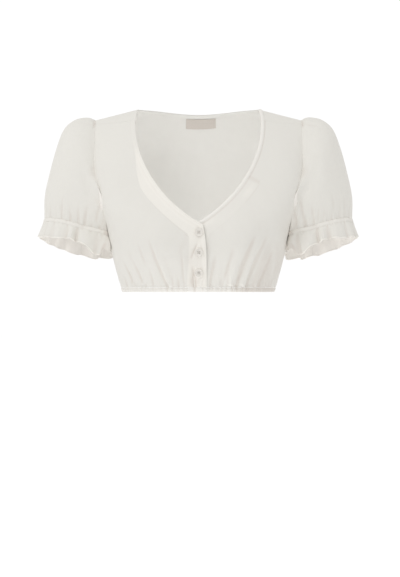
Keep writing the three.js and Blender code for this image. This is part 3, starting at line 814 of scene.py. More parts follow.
@dataclass(frozen=True)
class CottonFinish:
    """White cotton batiste: its weave, its crumple, and shade painted into its folds and beside its seams.

    Args:
        name: The material's name.
        slot: The record's material slot; not used.
        base: Colour of one layer, linear.
        doubled: Colour where a second layer lies behind.
        inside: Colour of the cloth's inner side, painted lighter than the outer side to stand in for light
            inside the blouse.
        fold: Painted shade colour, reached deep in a fold, beside a seam and on the side away from the light.
        thread: Width of a thread of the weave, in mm.
        crumple: Height of the crumples, in mm.
    """

    name: str
    slot: str
    base: Colour = (0.88, 0.87, 0.83)
    doubled: Colour = (0.985, 0.965, 0.915)
    inside: Colour = (0.95, 0.945, 0.92)
    fold: Colour = (0.77, 0.72, 0.67)
    thread: float = 0.45
    crumple: float = 0.5

    def material(self) -> bpy.types.Material:
        """Makes the material.

        Returns:
            The finished material.
        """
        material = bpy.data.materials.new(self.name)
        nodes = Nodes(material)
        place = nodes.add("ShaderNodeTexCoord").outputs["Object"]
        cloth = nodes.attribute("cloth_mm", "Vector")
        warp = nodes.noise(cloth, (1 / self.thread, 0.12, 1), 1.0)
        weft = nodes.noise(cloth, (0.12, 1 / self.thread, 1), 1.0)
        weave = nodes.math("ADD", warp, weft)
        cloud = nodes.noise(place, (45, 45, 45), 3.0)
        soft = nodes.noise(place, (95, 95, 60), 2.0)
        tone = nodes.blend(nodes.attribute("layers", "Fac"), self.base, self.doubled)
        # The inner side takes its own colour, painted lighter to stand in for light inside.
        tone = nodes.blend(nodes.attribute("inside", "Fac"), tone, self.inside)
        # Painted shade: the valley attribute darkens folds, seams and the side away from the light toward the
        # fold colour.
        valley = nodes.math("MULTIPLY", nodes.attribute("valley", "Fac"), 0.55)
        tone = nodes.blend(valley, tone, self.fold)
        patchy = nodes.math("MULTIPLY", cloud, 0.10)
        tone = nodes.blend(patchy, tone, self.fold)
        slubs = nodes.math("MULTIPLY", nodes.math("SUBTRACT", weave, 0.9), 0.18)
        tone = nodes.blend(slubs, tone, self.doubled)
        nodes.link(tone, nodes.shader.inputs["Base Color"])
        normal = nodes.bump(cloud, self.crumple * 2.2)
        normal = nodes.bump(soft, self.crumple * 0.5, normal)
        normal = nodes.bump(weave, 0.05, normal)
        nodes.link(normal, nodes.shader.inputs["Normal"])
        nodes.shader.inputs["Roughness"].default_value = 0.86
        nodes.shader.inputs["Specular IOR Level"].default_value = 0.25
        nodes.shader.inputs["Sheen Weight"].default_value = 0.12
        nodes.shader.inputs["Sheen Roughness"].default_value = 0.5
        return material


@dataclass(frozen=True)
class LabelFinish:
    """A bare woven label: close diagonal ribs with a dull gloss."""

    name: str = "label_weave"
    slot: str = "label_cloth"
    base: Colour = (0.79, 0.735, 0.685)
    rib: Colour = (0.68, 0.625, 0.58)

    def material(self) -> bpy.types.Material:
        """Makes the material.

        Returns:
            The finished material.
        """
        material = bpy.data.materials.new(self.name)
        nodes = Nodes(material)
        cloth = nodes.attribute("cloth_mm", "Vector")
        wave = nodes.add("ShaderNodeTexWave", bands_direction="DIAGONAL")
        wave.inputs["Scale"].default_value = 0.55
        wave.inputs["Distortion"].default_value = 0.6
        nodes.link(cloth, wave.inputs["Vector"])
        ribs = wave.outputs["Fac"]
        mottle = nodes.noise(cloth, (0.5, 0.5, 1), 3.0)
        tone = nodes.blend(nodes.math("MULTIPLY", ribs, 0.5), self.base, self.rib)
        tone = nodes.blend(nodes.math("MULTIPLY", mottle, 0.25), tone, self.rib)
        nodes.link(tone, nodes.shader.inputs["Base Color"])
        nodes.link(nodes.bump(ribs, 0.08), nodes.shader.inputs["Normal"])
        nodes.shader.inputs["Roughness"].default_value = 0.6
        nodes.shader.inputs["Sheen Weight"].default_value = 0.1
        return material


@dataclass(frozen=True)
class ButtonFinish:
    """Ivory moulded plastic with faint clouds, a little duller where fingers rub."""

    name: str = "ivory_button"
    slot: str = "button"
    base: Colour = (0.90, 0.875, 0.83)
    cloud: Colour = (0.82, 0.79, 0.74)

    def material(self) -> bpy.types.Material:
        """Makes the material.

        Returns:
            The finished material.
        """
        material = bpy.data.materials.new(self.name)
        nodes = Nodes(material)
        place = nodes.add("ShaderNodeTexCoord").outputs["Object"]
        cloud = nodes.noise(place, (260, 260, 260), 3.0)
        tone = nodes.blend(nodes.math("MULTIPLY", cloud, 0.5), self.base, self.cloud)
        nodes.link(tone, nodes.shader.inputs["Base Color"])
        rough = nodes.math("ADD", nodes.math("MULTIPLY", cloud, 0.25), 0.25)
        nodes.link(rough, nodes.shader.inputs["Roughness"])
        nodes.link(nodes.bump(cloud, 0.04), nodes.shader.inputs["Normal"])
        nodes.shader.inputs["Coat Weight"].default_value = 0.15
        return material


@dataclass(frozen=True)
class ThreadFinish:
    """Twisted white sewing thread."""

    name: str = "sewing_thread"
    slot: str = "band_cloth"
    base: Colour = (0.84, 0.82, 0.78)
    shade: Colour = (0.66, 0.63, 0.59)

    def material(self) -> bpy.types.Material:
        """Makes the material.

        Returns:
            The finished material.
        """
        material = bpy.data.materials.new(self.name)
        nodes = Nodes(material)
        place = nodes.add("ShaderNodeTexCoord").outputs["Object"]
        twist = nodes.noise(place, (2200, 2200, 2200), 2.0)
        nodes.link(nodes.blend(twist, self.base, self.shade), nodes.shader.inputs["Base Color"])
        nodes.link(nodes.bump(twist, 0.05), nodes.shader.inputs["Normal"])
        nodes.shader.inputs["Roughness"].default_value = 0.7
        nodes.shader.inputs["Sheen Weight"].default_value = 0.2
        return material


Finish = CottonFinish | LabelFinish | ButtonFinish | ThreadFinish


@dataclass
class Wardrobe:
    """The finishes, each made once, and the way a piece is taken into the object."""

    cloth: CottonFinish = CottonFinish("white_batiste", "white_cloth")
    # The sleeve's inner side is painted lighter still, standing in for light inside sleeve and frill.
    sleeve: CottonFinish = CottonFinish("sleeve_batiste", "white_cloth", inside=(0.985, 0.96, 0.925))
    facing: CottonFinish = CottonFinish("facing_batiste", "facing_cloth", base=(0.93, 0.915, 0.875))
    band: CottonFinish = CottonFinish("band_batiste", "band_cloth", base=(0.95, 0.935, 0.90), crumple=0.25)
    cuff: CottonFinish = CottonFinish("cuff_batiste", "band_cloth", base=(0.91, 0.895, 0.855), crumple=0.25)
    label: LabelFinish = LabelFinish()
    button: ButtonFinish = ButtonFinish()
    thread: ThreadFinish = ThreadFinish()
    made: dict[str, bpy.types.Material] = field(default_factory=dict)

    def material(self, finish: Finish) -> bpy.types.Material:
        """Returns a finish's material, made when it is first asked for."""
        if finish.name not in self.made:
            self.made[finish.name] = finish.material()
        return self.made[finish.name]

    def dress(self, piece: bpy.types.Object, finish: Finish, *nodes: str) -> bpy.types.Object:
        """Gives a piece its material and body, and lets it stand for its solids.

        Args:
            piece: The finished piece.
            finish: One of the finishes.
            nodes: Names of the solids it stands for.

        Returns:
            The piece.
        """
        material = self.material(finish)
        piece.data.materials.clear()
        piece.data.materials.append(material)
        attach(piece, BODY)
        if nodes:
            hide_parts(*nodes)
        LOG.info("%s: %d faces", piece.name, len(piece.data.polygons))
        return piece


def lap_step(x: Values) -> Values:
    """Returns how far the under front lies behind the upper one."""
    return LAP_STEP * (1 - smooth((x - OVERLAP) / LAP_FADE))


@dataclass(frozen=True)
class FrontCut:
    """One front: its side, its creases and gathers, and its columns and rows."""

    side: Side
    creases: tuple[Crease, ...]
    gathers: Gathers
    facing_columns: int = 22
    side_columns: int = 104
    low_rows: int = 92
    high_rows: int = 92

    def columns(self) -> np.ndarray:
        """Returns the panel's u values."""
        near = np.linspace(0, FACING_SHARE, self.facing_columns + 1)
        return np.concatenate([near, np.linspace(FACING_SHARE, 1, self.side_columns + 1)[1:]])

    def rows(self) -> np.ndarray:
        """Spaces the rows, from the casing to the shoulder seam.

        Returns:
            The panel's t values.
        """
        low = np.linspace(SEAM_GAP / (ARMPIT_Z - PANEL_Z), 1, self.low_rows + 1)
        high = np.linspace(1, 2 - SEAM_NECK - SEAM_EASE, self.high_rows + 1)
        return np.concatenate([low, high[1:]])

    def lift(self, x: Values, z: Values, u: Values, t: Values) -> np.ndarray:
        """Adds creases, gathers and a soft unevenness.

        Args:
            x: Distance from the centre, in mm.
            z: Height, in mm.
            u: From the inner edge at 0 to the side at 1.
            t: Upwards: 0 at the casing, 1 at the armpit, 2 at the shoulder line.

        Returns:
            How far the cloth stands off the plain form, in mm.
        """
        total = lift_of([*self.creases, *self.gathers.creases()], x, z)
        height = z - PANEL_Z
        fine = uneven(x, 9.5, 1.3 + self.side.value) * 0.55 * (1 - smooth(height / 30)) * smooth((x + 2) / 22)
        sag = uneven(x + 0.4 * z, 62, 2.0 * self.side.value) * 0.5 * smooth(height / 60)
        return total + fine + sag * (1 - smooth((t - 1.6) / 0.3)) * smooth(u / 0.25)

    def place(self, u: np.ndarray, t: np.ndarray) -> np.ndarray:
        """Lays cloth on the form.

        Args:
            u: From the inner edge at 0 to the side at 1.
            t: Upwards: 0 at the casing, 1 at the armpit, 2 at the shoulder line.

        Returns:
            The panel's points.
        """
        angle, z = TORSO.front_place(u, t)
        x = TORSO.surface(angle, z, -1)[..., 0]
        lapped = lap_step(x) if self.side is Side.LEFT else 0.0
        puffed = self.lift(x, z, u, t)
        edge = smooth(u / 0.04) if self.side is Side.LEFT else 1.0
        points = TORSO.surface(angle, z, -1, puffed * mix(0.35, 1, edge) - lapped)
        points[..., 0] *= self.side.value
        return points

    def grid(self) -> np.ndarray:
        """Returns the whole panel as rows and columns of points."""
        u, t = np.meshgrid(self.columns(), self.rows())
        return self.place(u, t)

    def doubled(self) -> np.ndarray:
        """Finds where the facing lies behind the panel.

        Returns:
            Its share at each point, from 0 to 1.
        """
        u, t = np.meshgrid(self.columns(), self.rows())
        if self.side is Side.LEFT:
            across = 1 - smooth((u - FACING_SHARE) / 0.008 + 0.5)
            return across * (1 - smooth((t - FACING_END) / 0.03 + 0.5))
        width = FACING_SHARE * mix(1, 0.28, smooth((t - 1.42) / 0.3))
        return 1 - smooth((u - width) / mix(0.008, 0.03, smooth((t - 1.3) / 0.3)) + 0.5)


RIGHT_FRONT = FrontCut(
    Side.RIGHT,
    (
        Crease(90, -210, 54, -312, 4.2, 3.8, -3.0, 0.8, 0.02),
        Crease(126, -244, 92, -310, 4.6, 2.1, -2.0, 0.8, 0.03),
        Crease(144, -240, 107, -312, 4.6, 2.3, -3.5, 0.8, 0.02),
        Crease(132, -244, 100, -312, 3.4, 1.2, -2.0, 0.8, 0.02),
        Crease(106, -228, 90, -274, 4.2, 1.0, -2.0, 0.4, 0.4),
        Crease(124, -222, 122, -266, 8.0, 0.9, 0.0, 0.4, 0.4),
        Crease(24, -222, 108, -202, 12.0, 1.2, 2.0, 0.3, 0.5),
        Crease(22, -246, 66, -256, 6.0, 0.7, 0.0, 0.2, 0.5),
        Crease(1, -231, 13, -260, 2.6, 1.2, 0.0, 0.3, 0.3),
        Crease(12, -266, 6, -312, 4.2, 4.0, 1.0, 0.6, 0.02),
        Crease(-3, -288, -2, -312, 1.8, 1.3, 0.0, 0.4, 0.02),
        Crease(-8, -292, -7, -312, 1.6, 1.1, 0.0, 0.4, 0.02),
        Crease(29, -246, 27, -302, 3.6, 1.1, 0.0, 0.3, 0.3),
        Crease(160, -182, 150, -230, 9.0, 1.1, 0.0, 0.4, 0.4),
        Crease(152, -250, 126, -312, 4.6, 1.9, -2.0, 0.7, 0.02),
    ),
    Gathers(
        (
            (34, 0.10, 26, 3.0, 0.9),
            (45, 0.12, 22, 2.8, 0.9),
            (66, 0.24, 30, 3.0, 1.0),
            (78, 0.28, 44, 3.4, 1.1),
            (99, 0.34, 62, 3.6, 1.1),
            (117, 0.36, 66, 3.8, 1.4),
            (127, 0.34, 40, 3.0, 1.1),
        )
    ),
)

LEFT_FRONT = FrontCut(
    Side.LEFT,
    (
        Crease(112, -200, 68, -312, 6.2, 5.4, 5.0, 0.8, 0.02),
        Crease(130, -206, 87, -312, 6.6, 6.6, 4.0, 0.8, 0.02),
        Crease(66, -228, 44, -312, 4.8, 2.8, 2.0, 0.8, 0.02),
        Crease(52, -240, 35, -312, 4.2, 2.0, 1.0, 0.8, 0.02),
        Crease(34, -240, 21, -312, 4.4, 2.0, 1.0, 0.8, 0.02),
        Crease(90, -236, 58, -312, 4.6, 1.5, 3.0, 0.8, 0.02),
        Crease(145, -222, 108, -312, 5.4, 3.4, 3.0, 0.8, 0.02),
        Crease(156, -244, 124, -312, 4.8, 2.8, 2.0, 0.8, 0.02),
        Crease(48, -176, 96, -196, 14.0, 0.8, 0.0, 0.4, 0.5),
        Crease(160, -182, 152, -228, 9.0, 1.4, 0.0, 0.4, 0.4),
    ),
    Gathers(
        (
            (27, 0.26, 38, 2.6, 1.3),
            (38, 0.20, 26, 2.4, 1.2),
            (51, 0.18, 40, 2.6, 1.5),
            (60, 0.30, 28, 2.4, 1.3),
            (78, 0.34, 36, 2.8, 1.6),
            (97, 0.36, 42, 2.8, 1.7),
            (104, 0.40, 30, 2.4, 1.5),
            (118, 0.40, 46, 3.0, 1.8),
            (130, 0.38, 32, 2.6, 1.5),
        )
    ),
)


@dataclass
class Fronts:
    """Both fronts with their facings and neck bindings."""

    wardrobe: Wardrobe
    cuts: tuple[FrontCut, FrontCut] = (RIGHT_FRONT, LEFT_FRONT)
    binding_width: float = 5.5
    neck_roll: float = 0.45
    sheets: dict[str, ClothSheet] = field(default_factory=dict)

    def build(self) -> None:
        """Builds each front and what is sewn to it."""
        for cut in self.cuts:
            self.facing(cut, self.panel(cut))
            if cut.side is Side.LEFT:
                self.rolled_binding(cut)
            else:
                self.inner_binding(cut)

    def panel(self, cut: FrontCut) -> ClothSheet:
        """Builds a front panel, with the relief of its turned edges.

        Args:
            cut: The front.

        Returns:
            Its sheet.
        """
        name = "front_" + cut.side.word
        points = cut.grid()
        plain = ClothSheet(name, points, cut.side.value)
        u, t = np.meshgrid(cut.columns(), cut.rows())
        edge = u / FACING_SHARE * FACING_NECK
        roll = self.neck_roll * (1 - smooth((edge - 4.5) / 3)) * (1 - 0.7 * smooth((t - 1.5) / 0.3))
        double = cut.doubled()
        side_seam = 0.35 * (1 - smooth((1 - u) * 170 / 3.5))
        relief = roll * (cut.side is Side.RIGHT) + 0.25 * double + side_seam
        strip = 1 - smooth((edge - 8) / 6)
        patch = 0.4 * np.exp(-(((edge - 19) / 6) ** 2) - ((t - 1.42) / 0.05) ** 2)
        patch = patch + 0.55 * np.exp(-(((edge - 9) / 7) ** 2) - ((t - 1.06) / 0.07) ** 2)
        strap = 1 - 0.95 * smooth((t - 1.5) / 0.3)
        layers = double * (mix(0.8, 1.5, strip) * strap if cut.side is Side.RIGHT else 0.12 + patch)
        shade = self.seam_shade(cut, points, edge, t)
        sheet = ClothSheet(name, plain.offset(relief), cut.side.value, BATISTE, layers=layers, shade=shade)
        piece = self.wardrobe.dress(sheet.object(), self.wardrobe.cloth, name)
        self.sheets[name] = sheet
        return sheet

    def seam_shade(self, cut: FrontCut, points: np.ndarray, edge: np.ndarray, t: np.ndarray) -> np.ndarray:
        """Returns the painted shade beside a front's seams, in its folds and toward the side away from the
        light, with darker lines along its facing's end and border.

        Args:
            cut: The front.
            points: Its points.
            edge: Each point's distance from the inner edge, in mm.
            t: Each point's row.

        Returns:
            The painted shade at each point.
        """
        x, z = points[..., 0], points[..., 2]
        neck = t > 1.02
        if cut.side is Side.LEFT:
            # Painted shadow in a narrow line beside the rolled binding.
            beside = 0.9 * np.exp(-(((edge - self.binding_width - 1.0) / 1.3) ** 2)) * neck
            # The deep fold runs from the hem up to the bust, and the cloth beyond it lies in its shade.
            fold = np.interp(-z, (221, 249, 276, 309), (123, 112, 103, 87))
            away = 0.85 * smooth((x - fold + 3) / 9) * smooth((-212 - z) / 50)
            away = away * (1 - 0.6 * np.exp(-(((x - 132) / 4) ** 2)) * smooth((-222 - z) / 20))
            # Painted shade down the dark side of a second fold nearer the centre, and over the side away from
            # the light.
            first = 0.5 * np.exp(-(((x - fold + 23) / 3.5) ** 2)) * smooth((-212 - z) / 50)
            side = 0.45 * smooth((x - 125) / 40) * smooth((-150 - z) / 60)
            # Darker lines along the facing's end and along its border.
            end = 0.8 * np.exp(-(((t - FACING_END) / 0.012) ** 2)) * (edge < FACING_NECK)
            border = 0.35 * np.exp(-(((edge - FACING_NECK - 1) / 1.6) ** 2)) * smooth((t - 1.3) / 0.1)
            border = border * (t < FACING_END)
            ahead = smooth((-points[..., 1] - 4) / 40)
            return beside + (np.maximum(away, side) + first) * ahead + end + border
        # Painted shade in two hollows beside the placket, just above the hem.
        own = -x
        hem = 1.8 * np.exp(-(((own - 8) / 7) ** 2) - ((z + 300) / 10) ** 2)
        hem = hem + 0.35 * np.exp(-(((own - 14) / 12) ** 2) - ((z + 262) / 24) ** 2)
        # A darker line along the facing's border.
        border = 0.35 * np.exp(-(((edge - FACING_NECK - 1.0) / 1.4) ** 2)) * (1 - smooth((t - 1.3) / 0.1))
        return hem + border * (t > 0.85)

    def facing(self, cut: FrontCut, panel: ClothSheet) -> None:
        """Builds the second layer inside a front's placket and neck edge.

        Args:
            cut: The front.
            panel: Its sheet.
        """
        name = "facing_" + cut.side.word
        rows = cut.rows() < FACING_END
        columns = cut.columns() <= FACING_SHARE + 1e-9
        points = panel.offset(-FACING_DROP)[rows][:, columns]
        sheet = ClothSheet(name, points, cut.side.value, FACING_CLOTH)
        piece = self.wardrobe.dress(sheet.object(), self.wardrobe.facing, name)

    def _strap_edge(self, start: float) -> tuple[np.ndarray, np.ndarray]:
        """Lays a fine grid along a neck edge.

        Args:
            start: The t it starts from, up to the shoulder line.

        Returns:
            u and t.
        """
        t = np.concatenate([np.linspace(start, FINE_FROM, 110), np.linspace(FINE_FROM, 1.999, 16)[1:]])
        u = np.linspace(0, FACING_SHARE, 40)
        return np.meshgrid(u, t)

    def rolled_binding(self, cut: FrontCut) -> None:
        """Builds the left neck binding, rolled over the edge from inside to outside.

        Args:
            cut: The left front.
        """
        u, t = self._strap_edge(1.03)
        base = ClothSheet("edge", cut.place(u, t), cut.side.value)
        inward = base.points[:, 0] - base.points[:, 4]
        inward /= np.linalg.norm(inward, axis=-1, keepdims=True)
        # Each pair is a distance in from the edge and a height off the cloth, from inside to outside.
        section = (
            (2.6, -0.75),
            (1.2, -0.95),
            (0.0, -0.85),
            (-0.55, -0.35),
            (-0.6, 0.25),
            (-0.2, 0.85),
            (0.7, 1.4),
            (2.0, 1.6),
            (3.4, 1.45),
            (4.6, 1.15),
            (self.binding_width, 0.66),
        )
        span = np.linalg.norm(base.points[:, 0] - base.points[:, -1], axis=-1)
        rows = []
        for depth, out in section:
            column = np.clip(max(depth, 0) / span * (u.shape[1] - 1), 0, u.shape[1] - 1.001)
            low = column.astype(int)
            part = (column - low)[:, None]
            line = np.arange(len(low))
            at = mix(base.points[line, low], base.points[line, low + 1], part)
            normal = base.normals[line, low]
            rows.append(at + normal * out + inward * max(-depth, 0))
        points = np.stack(rows, 1)
        sheet = ClothSheet("neck_binding_left", points, cut.side.value, 0.4)
        piece = self.wardrobe.dress(sheet.object(), self.wardrobe.band, "neck_binding_left")
        self.sheets["neck_binding_left"] = sheet

    def inner_binding(self, cut: FrontCut) -> None:
        """Builds the right neck binding, turned in from the facing's end up.

        Args:
            cut: The right front.
        """
        u, t = self._strap_edge(FACING_END + 0.02)
        columns = int(u.shape[1] * self.binding_width / FACING_NECK) + 1
        base = ClothSheet("edge", cut.place(u, t), cut.side.value)
        points = base.offset(-0.9 - 0.25 * np.sin(np.linspace(0, math.pi, u.shape[1]))[None, :])[:, :columns]
        sheet = ClothSheet("neck_binding_right", points, cut.side.value, 0.5)
        piece = self.wardrobe.dress(sheet.object(), self.wardrobe.band, "neck_binding_right")


@dataclass
class BackPanel:
    """The back, cut on over the shoulders, with its neck binding and label."""

    wardrobe: Wardrobe
    fronts: tuple[FrontCut, FrontCut] = (RIGHT_FRONT, LEFT_FRONT)
    columns: int = 200
    low_rows: int = 76
    high_rows: int = 84
    fine_rows: int = 11
    label_width: float = 54.0
    label_height: float = 23.5
    label_drop: float = 10.6
    label_aside: float = 4.5
    binding_width: float = 9.0

    def gathers(self) -> list[Crease]:
        """Lays out gathers and drag lines, uneven but much like the front's.

        Returns:
            The creases.
        """
        rows = []
        for i in range(27):
            x = -128 + i * 9.8 + 2.2 * math.sin(2.1 * i)
            lean = 0.30 * x / 128
            length = 46 + 26 * math.sin(1.7 * i + 0.8)
            rows.append((x, lean, length, 2.6 + 0.9 * math.sin(2.9 * i), 1.25 + 0.6 * math.sin(1.3 * i + 2)))
        drags = [
            Crease(-150, -150, -84, -196, 9, 1.0, 2, 0.4, 0.5),
            Crease(150, -146, 92, -190, 9, 1.0, -2, 0.4, 0.5),
            Crease(-40, -232, 30, -238, 8, 0.7, 3, 0.4, 0.4),
            Crease(-158, -186, -136, -240, 6, 1.0, 0, 0.4, 0.4),
            Crease(158, -186, 134, -246, 6, 1.1, 0, 0.4, 0.4),
        ]
        return [*Gathers(tuple(rows)).creases(), *drags]

    def place(self, u: np.ndarray, t: np.ndarray) -> np.ndarray:
        """Lays cloth on the form.

        Args:
            u: From one side at -1 to the other at 1.
            t: Upwards: 0 at the casing, 1 at the armpit, 2 at the shoulder line, and on over it.

        Returns:
            The back's points.
        """
        angle, z = TORSO.back_place(u, np.minimum(t, 2))
        x = TORSO.surface(angle, z, 1)[..., 0]
        height = z - PANEL_Z
        lift = lift_of(self.gathers(), x, z) + uneven(x, 9.0, 0.4) * 0.5 * (1 - smooth(height / 28))
        lift = lift + uneven(x - 0.3 * z, 70, 1.2) * 0.5 * smooth(height / 60) * (1 - smooth((t - 1.6) / 0.3))
        points = TORSO.surface(angle, z, 1, lift)
        past = np.clip((np.abs(u) - BACK_NECK_SHARE) / (1 - BACK_NECK_SHARE), 0, 1)
        for cut in self.fronts:
            over = (t > 2) & (np.sign(u) == cut.side.value)
            if over.any():
                points[over] = cut.place(past[over], 4 - t[over])
        return points

    def build(self) -> None:
        """Builds the back, its neck binding and the label."""
        u = np.linspace(-1, 1, self.columns + 1)
        low = np.linspace(SEAM_GAP / (ARMPIT_Z - PANEL_Z), 1, self.low_rows + 1)
        fine = np.linspace(FINE_FROM, 2, self.fine_rows + 1)
        high = np.concatenate([np.linspace(1, FINE_FROM, self.high_rows + 1)[1:], fine[1:]])
        last = np.linspace(2 - SEAM_NECK + SEAM_EASE, FINE_FROM, 3)
        over = 4 - np.concatenate([fine[:-1], last[:-1]])
        t = np.concatenate([low, high, np.sort(over)])
        u_grid, t_grid = np.meshgrid(u, t)
        points = self.place(u_grid, t_grid)
        middle = (u[1:] + u[:-1]) / 2
        keep = (t[1:, None] <= 2 + 1e-9) | (np.abs(middle)[None, :] > BACK_NECK_SHARE)
        side_seam = 0.35 * (1 - smooth((1 - np.abs(u_grid)) * 210 / 3.5)) * (t_grid < 1)
        plain = ClothSheet("back", points, -1)
        sheet = ClothSheet("back", plain.offset(side_seam), -1, BATISTE, keep=keep)
        piece = self.wardrobe.dress(sheet.object(), self.wardrobe.cloth, "back")
        self.binding()
        self.label()

    def _below_neck(self, u: np.ndarray, distance: np.ndarray) -> tuple[np.ndarray, np.ndarray]:
        """Returns points and normals at distances down the inside of the back neck.

        Args:
            u: Columns across the back.
            distance: Distances down the cloth from the neck edge, in mm.

        Returns:
            Points and outward directions, rows by distance.
        """
        t = np.linspace(1.55, 2, 160)
        u_grid, t_grid = np.meshgrid(u, t)
        base = ClothSheet("neck", self.place(u_grid, t_grid), -1)
        steps = np.linalg.norm(np.diff(base.points[::-1], axis=0), axis=-1)
        down = np.pad(np.cumsum(steps, 0), ((1, 0), (0, 0)))
        points, normals = base.points[::-1], base.normals[::-1]
        at = np.empty((len(distance), len(u), 3))
        out = np.empty_like(at)
        for column in range(len(u)):
            for k in range(3):
                at[:, column, k] = np.interp(distance, down[:, column], points[:, column, k])
                out[:, column, k] = np.interp(distance, down[:, column], normals[:, column, k])
        return at, out

    def binding(self) -> None:
        """Builds the narrow binding inside the back neck."""
        u = np.linspace(-BACK_NECK_SHARE, BACK_NECK_SHARE, 150)
        across = np.linspace(0.3, self.binding_width, 7)
        at, out = self._below_neck(u, across)
        swell = 0.7 * np.sin(np.linspace(0, math.pi, 7))[:, None, None]
        sheet = ClothSheet("neck_binding_back", at - out * (1.0 + swell), 1, 0.9)
        piece = self.wardrobe.dress(sheet.object(), self.wardrobe.band, "neck_binding_back")

    def label(self) -> None:
        """Builds the bare label, sewn on at its two ends and a little bowed between them."""
        tried = np.linspace(-0.4, 0.4, 161)
        reach = self.place(tried, np.full_like(tried, 1.9))[:, 0]
        half = self.label_width / 2
        u = np.interp(np.linspace(self.label_aside - half, self.label_aside + half, 44), reach, tried)
        down = np.linspace(self.label_drop, self.label_drop + self.label_height, 18)
        at, out = self._below_neck(u, down)
        x = np.linspace(-1, 1, 44)[None, :, None]
        y = np.linspace(0, 1, 18)[:, None, None]
        bow = 0.7 * (1 - x**4) * (0.6 + 0.4 * np.sin(2.2 * x + 3 * y)) * (0.35 + 0.65 * y)
        sheet = ClothSheet("label", at - out * (1.0 + bow), 1, 0.4)
        piece = self.wardrobe.dress(sheet.object(), self.wardrobe.label, "label")


@dataclass
class HemCasings:
    """The casings that hold the elastic, and the plain hem of the placket."""

    wardrobe: Wardrobe
    back: BackPanel
    rows: int = 12
    sheets: dict[str, ClothSheet] = field(default_factory=dict)

    def build(self) -> None:
        """Builds the four pieces of the hem."""
        gap = SEAM_GAP / 175
        self._piece("placket_hem", self._front(RIGHT_FRONT), 0, FACING_SHARE - gap, 24, 0.05)
        self._piece("hem_casing_right", self._front(RIGHT_FRONT), FACING_SHARE, 1, 130, 0.3)
        self._piece("hem_casing_left", self._front(LEFT_FRONT), 0, 1, 170, 0.4)
        self._piece("hem_casing_back", self._back, -1, 1, 250, 0.7)

    def _front(self, cut: FrontCut) -> Placing:
        """Prepares a front's casing.

        Args:
            cut: The front.

        Returns:
            A function that gives its points.
        """

        def place(u: np.ndarray, z: np.ndarray) -> np.ndarray:
            """Lays the casing under its panel.

            Args:
                u: From the inner edge at 0 to the side at 1.
                z: Height, in mm.

            Returns:
                The casing's points.
            """
            angle, _ = TORSO.front_place(u, np.zeros_like(u) + 0.002)
            x = TORSO.surface(angle, z, -1)[..., 0]
            lapped = lap_step(x) if cut.side is Side.LEFT else 0.0
            held = mix(0.45, 0.97, ((z - HEM_Z) / (PANEL_Z - HEM_Z)) ** 2)
            lift = held * cut.lift(x, np.full_like(x, PANEL_Z), u, 0 * u)
            points = TORSO.surface(angle, z, -1, lift - lapped)
            points[..., 0] *= cut.side.value
            return points

        return place

    def _back(self, u: np.ndarray, z: np.ndarray) -> np.ndarray:
        """Lays the back's casing.

        Args:
            u: From one side at -1 to the other at 1.
            z: Height, in mm.

        Returns:
            The casing's points.
        """
        angle = u * SIDE_ANGLE
        x = TORSO.surface(angle, z, 1)[..., 0]
        lift = 0.55 * lift_of(self.back.gathers(), x, np.full_like(x, PANEL_Z))
        return TORSO.surface(angle, z, 1, lift)

    def _piece(
        self,
        name: str,
        place: Placing,
        start: float,
        end: float,
        columns: int,
        pucker: float,
    ) -> None:
        """Builds one casing as a flat tube with uneven small puckers.

        Args:
            name: The piece's name.
            place: Gives its points.
            start: Its first u.
            end: Its last u.
            columns: Its cells across.
            pucker: How deep the puckers are, in mm.
        """
        u, s = np.meshgrid(np.linspace(start, end, columns + 1), np.linspace(0, 1, self.rows + 1))
        z = mix(HEM_Z, PANEL_Z - SEAM_GAP, s)
        points = place(u, z)
        sign = 1 if name == "hem_casing_left" else -1
        plain = ClothSheet(name, points, sign)
        along = plain.lines()[0]
        ripple = uneven(along, 6.5, len(name)) * pucker * np.sin(math.pi * np.clip(s, 0.08, 0.95)) ** 0.5
        top_edge = 0.5 * np.exp(-(((s - 0.93) / 0.07) ** 2))
        thickness = 0.9 + 1.5 * np.sin(math.pi * np.clip(s, 0.03, 0.97)) ** 0.6
        # Painted shade over the left casing toward the side away from the light.
        shaded = smooth((points[..., 0] - 50) / 35) * smooth((-points[..., 1] - 2) / 30)
        shade_paint = 1.3 * shaded if name == "hem_casing_left" else 0.0
        top_edge = top_edge * (1 - 0.6 * np.asarray(shade_paint))
        sheet = ClothSheet(name, plain.offset(ripple + top_edge), sign, thickness, shade=shade_paint)
        finish = self.wardrobe.band if name == "placket_hem" else self.wardrobe.cuff
        piece = self.wardrobe.dress(sheet.object(), finish, name)
        self.sheets[name] = sheet


SLEEVE_TABLE = SizeTable(
    ("v", "top_x", "top_z", "under_x", "under_z", "depth"),
    (
        (0, 184.5, -9.5, 171, -176, 55),
        (0.12, 200, -4.8, 171.3, -183, 60),
        (0.26, 222, -9, 169.7, -190, 65),
        (0.4, 241.5, -26, 168, -197, 67),
        (0.55, 255, -60, 166.4, -204, 67),
        (0.7, 266.5, -103, 165.2, -210, 64),
        (0.85, 276, -148, 164.2, -216, 57),
        (1, 276, -188, 163.3, -222, 47),
    ),
)

# The cuff, and the side of sleeve, band and frill that rests against the body
CUFF_TILT = math.radians(13)
HUG_SQUARE = 4.2
HUG_SQUARE_CUFF = 3.4
HUG_REACH = 12.0
HUG_OVER = 1.3
HUG_GAP = 0.35
BAND_GAP = 0.75
FRILL_GAP = 0.4
INNER_TURN = 0.84
HUG_BELOW = -112.0
HUG_FADE = 30.0
HUG_SOFT = 0.6


@dataclass(frozen=True)
class SleeveCut:
    """One sleeve's creases: those of its front in the front view, and those of its back."""

    side: Side
    front: tuple[Crease, ...]
    back: tuple[Crease, ...]
    seed: float


